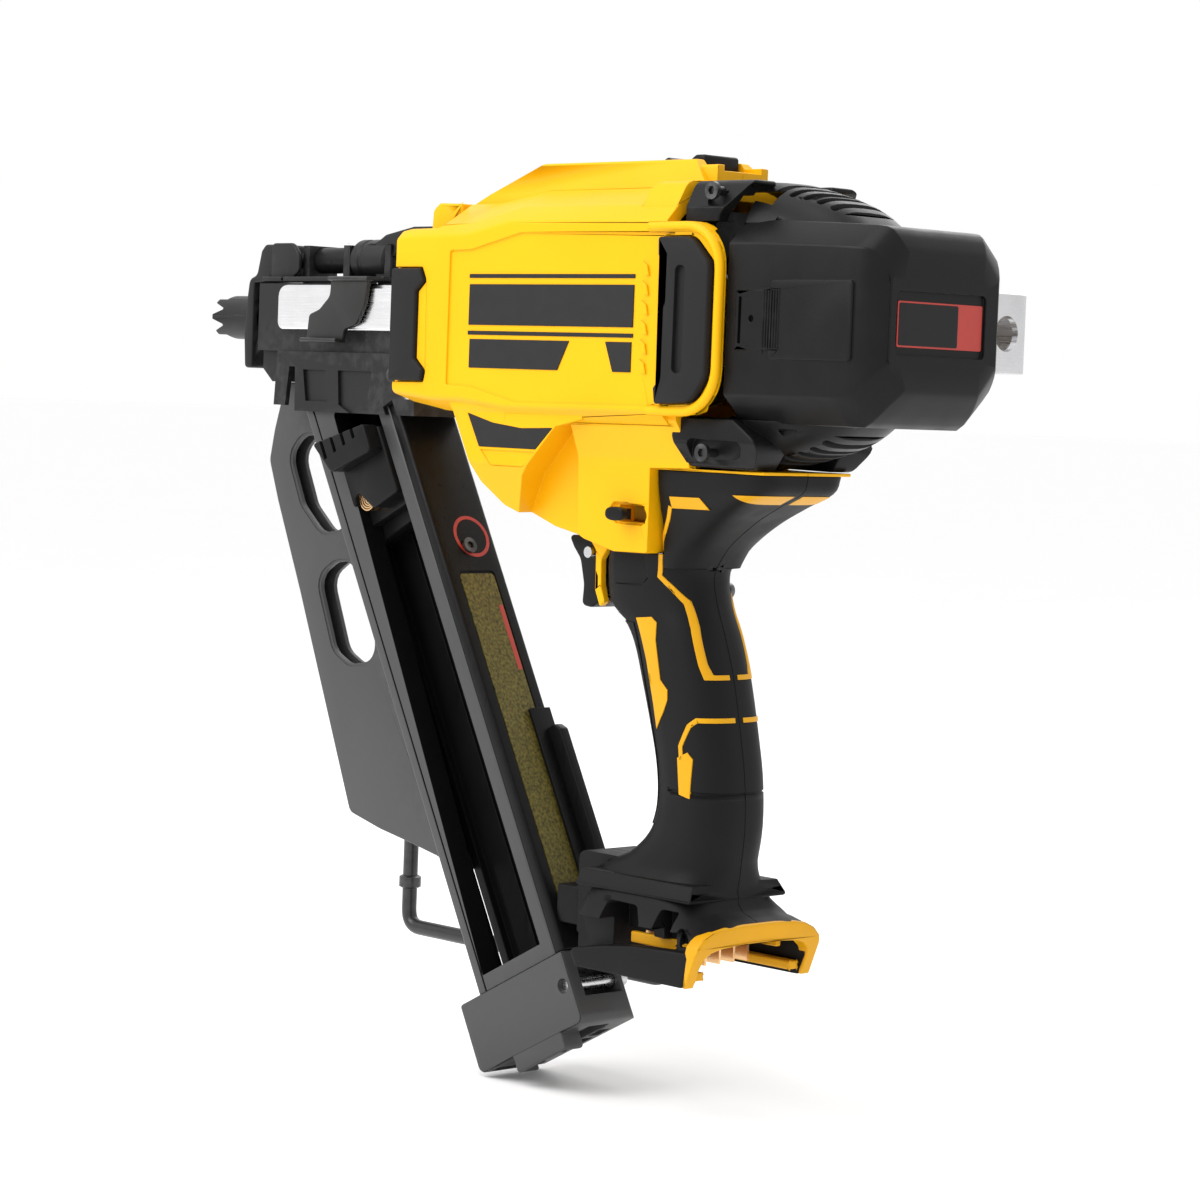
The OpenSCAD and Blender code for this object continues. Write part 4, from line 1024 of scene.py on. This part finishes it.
tube = turned("X", 0, WHEEL_Z, [(58.4, 7), (59.4, 8), (63, 8), (63.8, 7.5), (65, 7.5), (65.8, 8), (77.5, 8),
    (78.4, 7.1)])
brace = slab([(69, 27, 2), (77, 32, 3), (93, 34.9, 2), (108.7, 34.9), (108.7, 29), (95, 29, 3),
    (82.5, 24, 2), (82.5, 13.3), (73, 13.3)], 5.9, edge=0.9)
add(tube, brace)
cut(tube, on_wheel(6.4, 57, 78.6), centred(78.5, 82.1, 7.1, 12, 28.1))
finish_piece(tube, "trip_spring_housing", "black_casting", ["trip_spring_tube"], 0.25)

KNURLS, KNURL_POINTS = 24, 192
knurl = []
for i in range(KNURL_POINTS):
    turn = math.tau * i / KNURL_POINTS
    r = 8 + 0.42 * math.cos(KNURLS * turn)
    knurl.append((r * math.cos(turn), WHEEL_Z + r * math.sin(turn)))
wheel = add(prism(knurl, 34, 45.2, "X", edge=0.7), prism(knurl, 46.4, 54, "X", edge=0.7), on_wheel(7.2,
    34.5, 53.5, 48))
add(wheel, on_wheel(5, 30.3, 57.7, 40, 0.6))
cut(wheel, on_wheel(3.3, 20, 60))
finish_piece(wheel, "depth_wheel_knurled", "black_moulding", ["depth_wheel"], 0.12, body="depth_wheel")

# sleeve with teeth, front plate, adjuster stub and the bar to the link
claw = rod("X", 0, 0, 8.6, -25, 3.5, 64)
cut(claw, rod("X", 0, 0, 6.3, -30, 10, 48))
for z in (-3.2, 3.2):
    cut(claw, slab([(-26, z - 2.6), (-26, z + 2.6), (-19, z + 0.3), (-19, z - 0.3)], 20))
cut(claw, slab([(-26, 7), (-26, 12), (-17, 12), (-20, 7)], 20), slab([(-26, -7), (-26, -12), (-14, -12),
    (-20, -7)], 20))
face = slab([(-1, -20, 1.6), (-2, -7, 5), (-1, 4, 5), (-0.5, 9), (0.5, 15, 3), (5, 16.5, 3), (7.5, 26, 2),
    (10, 28.4, 2), (15, 28.4), (15, 15.6, 2), (10, 13.6, 2), (3.8, 13.4), (3.5, 8), (3.5, -20, 1.6)], 10.4,
    edge=0.9)
cut(face, rod("X", 0, 0, 6.3, -30, 30, 48))
trip = [
    claw, face,
    centred(12, 21, 8, 15.5, 28.4, 1.5, "Y", 0.8),
    prism([(14, 13.7, 1), (25, 13.7, 1), (31.4, 18, 3), (31.4, 24, 5), (27.5, 28.9, 4), (14, 28.9, 2)],
        -10.4, -8.6, edge=0.6),
    on_wheel(3, 0, 10, 32, 0.6),
    on_wheel(3, 20, 62, 32),
    on_wheel(5.6, 60, 63, 40, 0.5),
    block((12, -13.4, 13.7), (26, -9, 15.8), 0.6, "X", 0.4),
    block((24, -13.4, 13.7), (85.9, -8.6, 15.8), 0.6, "X", 0.4),
]
finish_piece(merged(trip), "contact_trip_claw", "black_casting", ["contact_trip"], 0.2, body="trip")

link = [
    block((63, -21.9, 13.7), (85.9, -13.7, 15.5), 0.8, "X", 0.4),
    prism([(63.6, 14.6), (63, 8, 4), (57, 3, 4), (51, 1, 2), (49.7, -8.6), (70.9, -8.6), (72, -4.5, 2),
        (79, -2.5, 4), (83.5, 5, 5), (85.4, 14.6)], -20.5, -18.5, edge=0.4),
    block((49.6, -23.9, -9.5), (70.9, -18.5, -7.9), 0.7, "X", 0.4),
]
finish_piece(merged(link), "trip_link_sheet", "black_sheet", ["trip_link"], 0.15, body="trip")


# -------- magazine, drawn upright and then tilted

TILT = Matrix.Rotation(math.radians(-28), 4, "Y")
GROUND = -25.0
UPPER_WINDOW = [(22, -53.5), (29.5, -46), (40, -44.5), (45, -47), (57.5, -75.5), (55.5, -81), (43.5, -83),
    (31, -72.5)]
LOWER_WINDOW = [(42, -100.5), (52, -94), (62, -92.5), (78, -124), (75, -130.5), (63, -132.5), (53.5, -128)]


guide = slab([(18, GROUND - 0.1), (12, -44, 6), (9.5, -56, 6), (15.5, -71.5, 10), (31, -106),
    (66, -189.3, 4), (84, -193.8, 8), (102, -197), (117, -200), (140, -206), (140, GROUND - 0.1)], 4.6,
    edge=0.7)
cut(guide, slab([(22, -20), (14.7, -44), (12.3, -56), (18.1, -71.5), (33.6, -106), (67.8, -187), (84, -191),
    (102, -194.2), (140, -201), (140, -20)], 2.4))
for window in (UPPER_WINDOW, LOWER_WINDOW):
    outline = rounded(window, 9)
    wide = inset(outline, -1.1)
    cut(guide, slab(outline, 20), prism(wide, -20, -4.1), prism(wide, 4.1, 20))
# step along the edge that meets the channel
cut(guide, keep(moved(block((13.2, -9, -300), (14.4, -4.2, -40)), TILT), block((0, -9, -186),
    (200, 0, -60))))
keep(guide, moved(centred(-80, 20.4, 10, -300, 60), TILT))
finish_piece(guide, "nail_guide_blade", "guide_grey", ["nail_guide"], 0.15)


def screw_bores():
    """Bores of the two screws that hold the rear cover."""
    return [rod("X", 0, z, 1.6, 60, 80, 20) for z in (-132, -285)]


channel = centred(20.6, 65.9, 13.9, -289.9, 10, 1.2, "Z")
opening = prism([(35.5, -60, 2), (59.4, -60, 2), (59.4, -283.9), (25.6, -283.9)], -16, -3.9)
floor_cut = prism(rectangle(25.6, 59.4, -60, -283.9), 9, 16)
cut(channel, centred(24.6, 61.9, 4.9, -292, 12), centred(19, 25, 1.85, -292, 12), opening, floor_cut)
for r in (38, 45.5, 53):
    cut(channel, block((r, 4, -280), (r + 2.6, 6.2, -62)))
cut(channel, *screw_bores())
# crease along the left face, beside the guide
cut(channel, prism([(24.4, -14.6), (25.2, -13.2), (26, -14.6)], -292, 20, "Z"))
moved(channel, TILT)
keep(channel, centred(-50, 300, 60, -400, GROUND - 0.1))
channel = finish_piece(channel, "magazine_channel_shell", "guide_grey", ["magazine_channel"], 0.25)
# painted shade: every face that doesn't face the tool's sides, and every face within 13 mm of the middle
# plane, takes the far darker magazine finish
channel.data.materials.append(FINISHES["magazine_dark"])
for face in channel.data.polygons:
    if abs(face.normal.y) < 0.8 or abs(face.center.y / MM) < 13:
        face.material_index = 1

cover = prism([(66, -13.9, 0.5), (70.4, -13.9, 1.4), (70.4, 13.9, 1.4), (66, 13.9, 0.5)], -289.9, -72.2,
    "Z", edge=0.5)
cut(cover, prism(rectangle(-9, 9, -142, -278), 69.8, 72, "X", radius=2))
cut(cover, *screw_bores())
finish_piece(moved(cover, TILT), "magazine_rear_cover", "magazine_dark", ["magazine_cover"], 0.2)

label = prism(rectangle(-8.4, 8.4, -143.1, -276.9), 69.7, 70.3, "X", radius=1.5)
finish_piece(moved(label, TILT), "magazine_label_field", "label_olive", ["magazine_label"], 0)
band = prism(rectangle(6.2, 8.2, -182, -156), 70.28, 70.36, "X")
finish_piece(moved(band, TILT), "magazine_label_band", edge=0, finish=LABEL_RED)
ring = cut(rod("X", 3, -128, 8.4, 70.38, 70.48, 48), rod("X", 3, -128, 7, 69, 72, 48))
finish_piece(moved(ring, TILT), "magazine_label_ring", edge=0, finish=LABEL_RED)

cap = slab([(10.6, -290.1, 1.2), (70.4, -290.1, 1.2), (70.4, -316.9, 3), (10.6, -316.9, 3)], 15.4, edge=0.9)
add(cap, block((30, -15.2, -322.9), (58, -6, -312), 1.2, "Y", 0.8))
cut(
    cap,
    centred(20.5, 62, 5, -330, -285),
    block((32, -14, -330), (56, -4, -293)),
    centred(13, 18, 12, -330, -304, 1, "Z"),
    *[block((r, 7, -330), (r + 7.4, 12.4, -302), 0.8, "Z") for r in (27.6, 37.2, 46.8)],
    prism([(71.5, 8.6), (71.5, 17), (63.2, 17)], -330, -280, "Z"),
    prism([(62.5, -296.5, 2), (73, -296.5), (73, -307.5), (62.5, -307.5, 2)], -10, 8),
)
cut(cap, rod("Y", 66, -302, 2.6, -30, 40, 24))
finish_piece(moved(cap, TILT), "magazine_end_cap", "guide_grey", ["magazine_cap"], 0.25)

rail = prism(rectangle(70.7, 72.4, -198.2, -283.9), 4.1, 13.9, edge=0.3)
fin = prism([(70.7, -206.2), (76, -206.2, 2), (78.4, -209, 2), (78.4, -283.9, 2), (70.7, -283.9)], 9.6,
    13.9, edge=0.8)
tongue = slab([(184.2, -200.1, 2), (202.8, -200.1, 2), (202.8, -213.9), (190, -213.9, 2)], 11.9, edge=0.8)
cut(tongue, moved(centred(0, 70.6, 30, -320, -100), TILT), block((180, -13, -230), (192, 3.9, -190)))
finish_piece(merged([moved(rail, TILT), moved(fin, TILT), tongue]), "magazine_side_rail", "magazine_dark",
    ["magazine_rail"], 0.15)

# pusher: block, foot, ribbed thumb wedge, rolled spring with its drum
wedge = prism([(27.6, -69.4, 1), (33, -84, 2), (57.8, -86.8, 2), (57.8, -75.6, 1.5)], -21.9, -15.1,
    edge=0.7)
cut(wedge, *[block((r, -40, -78.2), (r + 1.7, -20.2, -60)) for r in (32, 38, 44, 50)])
body_block = prism([(32.7, -76.2, 1), (58.5, -76.2, 1.5), (58.5, -103.8, 1.5), (43, -103.8, 2),
    (36, -92, 2), (32.7, -103.8, 1)], -15.4, -3.2, edge=0.9)
foot_block = centred(25, 58.5, 4.3, -111.9, -76.1, 1.5, "Y", 0.6)
ramp = prism([(26.5, -96, 1), (57.6, -104, 1), (57.6, -107, 1), (26.5, -106.4, 1)], -8.8, -4.4, edge=0.4)
finish_piece(moved(merged([wedge, body_block, foot_block, ramp]), TILT), "pusher_block", "black_moulding",
    ["pusher"], 0.15, body="pusher")
coil = merged([cut(rod("Y", 39.5, -98.2, 4.4 - 0.9 * k, -13.6 + 0.2 * k, -9.4, 40), rod("Y", 39.5, -98.2,
    3.9 - 0.9 * k, -20, 0, 40)) for k in range(4)])
finish_piece(moved(coil, TILT), "pusher_spring_roll", "contact_copper", edge=0, body="pusher")


# -------- trigger, switch, lever, hooks

trigger = prism([(186.2, -75.6, 1.2), (206.4, -75.6, 1.2), (206.4, -86), (204.4, -98, 3), (199, -100.9, 3),
    (194.2, -100.4, 2), (194.8, -93, 8), (192.6, -84, 6), (189, -80, 3)], -7.9, 7.9, edge=1)
cut(trigger, centred(198, 210, 5, -97, -86), rod("Y", 203, -81, 1.6, -30, 30))
finish_piece(trigger, "trigger_blade", "black_moulding", ["trigger"], 0.2, body="trigger")

knob = prism([p.xy for p in oval((231.5, -66, 0), (4.4, 0, 0), (0, 2.4, 0), 2.6, 40)], -29.9, -26.6,
    edge=0.6)
add(knob, block((228.6, -27, -67.9), (234.9, -24.5, -64.1)))
finish_piece(knob, "selector_knob", "black_moulding", ["selector_switch"], 0.15, body="selector")

lever = prism([(223.1, 52.2, 1), (247.9, 52.2, 1), (247.9, 57.9, 1.2), (243, 57.9, 1.5), (239, 55.4, 2),
    (233.5, 55.4, 2), (229.4, 57.4, 1.5), (225.6, 55.3, 1), (223.1, 54.8, 1)], -8.4, 8.4, edge=0.8)
cut(lever, *[centred(x, x + 0.7, 6.5, 57.2, 59) for x in (243.4, 244.9, 246.4)])
stem = [centred(228, 240, 3.5, 41, 53), centred(228, 240, 6, 39.6, 41.5, 0.6, "Z")]
finish_piece(merged([lever, *stem]), "stall_lever_pad", "black_moulding", ["stall_lever"], 0.15,
    body="stall_lever")


def bent(points, r):
    """Path through corners that are rounded to a bend radius."""
    path = [Vector(points[0])]
    for before, here, after in zip(points, points[1:], points[2:]):
        here = Vector(here)
        one, two = (Vector(before) - here).normalized(), (Vector(after) - here).normalized()
        for k in range(9):
            t = k / 8
            path.append(here + one * r * (1 - t) ** 2 + two * r * t**2)
    return path + [Vector(points[-1])]


wire = bent([(205, 32, -200.4), (205, 32, -237), (61, 32, -237), (61, 32, -172.2)], 7)
hook = [swept(wire, 2.95, 20), turned("Z", 61, 32, [(-222, 3.4), (-221.4, 4.35), (-217.6, 4.35),
    (-217, 3.4)], 32)]
finish_piece(merged(hook), "rafter_hook_wire", "hook_wire", ["rafter_hook"], 0, body="rafter_hook",
    angle=40)

holder = block((199.1, 21.3, -219.9), (210.9, 37.9, -206.1), 3, "Z", 0.8)
arm_block = block((203.1, 13.2, -218.9), (215.8, 30, -207.2), 1.5, "X", 0.6)
bracket = add(holder, arm_block)
cut(bracket, rod("Z", 205, 32, 3.05, -260, -190, 32))
finish_piece(bracket, "rafter_hook_bracket", "black_moulding", ["hook_bracket"], 0.2)

# flat strap: foot on the cap, leg outwards and arm forward, all of one bent sheet
centre_line = bent([(304.2, 35.15, 0), (336.75, 35.15, 0), (336.75, 58.75, 0), (266.1, 58.75, 0)], 4.5)
STRAP_HALF = 1.2  # half the sheet's thickness
left_side, right_side = [], []
for i, p in enumerate(centre_line):
    way = (centre_line[min(i + 1, len(centre_line) - 1)] - centre_line[max(i - 1, 0)]).normalized()
    across = Vector((-way.y, way.x, 0)) * STRAP_HALF
    left_side.append((p + across).xy)
    right_side.append((p - across).xy)
strap = prism(left_side + right_side[::-1], -13.4, 13.4, "Z", edge=0.4)
cut(strap, rod("X", 47, 0, 6, 325, 345), *[rod("Y", 318, z, 2.1, 20, 40, 24) for z in (-7, 7)])
cut(strap, *[prism([(264, z), (264, z + side * 9), (275, z + side * 9)], 50, 70) for z,
    side in ((5.5, 1), (-5.5, -1))])
finish_piece(strap, "belt_hook_strap", "hook_strap", ["belt_hook"], 0)


# -------- CAD nodes that stay as they are

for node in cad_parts.values():
    slot_name = node.data.materials[0].name.split(".")[0] if node.data.materials else ""
    node.data.materials.clear()
    node.data.materials.append(FINISHES.get(slot_name, FINISHES["black_shell"]))
    shade(node, 30)
    if "spring" not in node.name.replace("trip_spring_tube", ""):
        soften(node, 0.35 * MM, 2, 32)


# -------- floor, light and camera

FLOOR_REACH = 30  # metres each way
FLOOR_GAP = 0.0005
floor_z = cad_bounds[0].z - FLOOR_GAP
ground = bmesh.new()
for x, y in rectangle(-FLOOR_REACH, FLOOR_REACH, -FLOOR_REACH, FLOOR_REACH):
    ground.verts.new((x, y, floor_z))
ground.faces.new(ground.verts)
floor = solid(ground, "floor")
floor.data.materials.append(
    look("pale floor", (0.985, 0.985, 0.985), 0.8, shift=0.003, patch=3, grain=300, depth=0.02)
)

world = bpy.data.worlds.new("studio")
scene.world = world
world.use_nodes = True
background = world.node_tree.nodes["Background"]
background.inputs["Color"].default_value = (1.0, 1.0, 1.0, 1.0)
background.inputs["Strength"].default_value = 1.0

target = Vector((0.1957, 0.0, -0.0986))  # where the camera and the lamps aim, in metres


def lamp(name, azimuth, elevation, distance, size, power):
    """Area light that faces the tool from an azimuth round it."""
    a, e = math.radians(azimuth), math.radians(elevation)
    away = Vector((math.sin(a) * math.cos(e), -math.cos(a) * math.cos(e), math.sin(e)))
    light = bpy.data.lights.new(name, "AREA")
    light.energy, light.size = power, size
    made = linked(name, light)
    made.location = target + away * distance
    made.rotation_euler = (-away).to_track_quat("-Z", "Y").to_euler()


lamp("key", -22, 38, 1.3, 0.9, 11)
lamp("top", 10, 80, 1.2, 0.8, 4)
lamp("rim", 200, 35, 1.5, 0.8, 4)

# the photo's viewpoint, as fitted
DISTANCE = 1.2143
AZIMUTH, ELEVATION, ROLL = (math.radians(v) for v in (46.0, 3.4, 2.2))
forward = Vector(
    (-math.sin(AZIMUTH) * math.cos(ELEVATION), math.cos(AZIMUTH) * math.cos(ELEVATION),
        -math.sin(ELEVATION))
)
right = Vector((math.cos(AZIMUTH), math.sin(AZIMUTH), 0.0))
up = right.cross(forward)
lens = bpy.data.cameras.new("camera")
lens.lens = 102.0
lens.sensor_width = 36.0
camera = linked("camera", lens)
x_axis = right * math.cos(ROLL) + up * math.sin(ROLL)
y_axis = -right * math.sin(ROLL) + up * math.cos(ROLL)
placing = Matrix((x_axis, y_axis, -forward)).transposed().to_4x4()
placing.translation = target - forward * DISTANCE
camera.matrix_world = placing
scene.camera = camera
scene.view_settings.view_transform = "Standard"
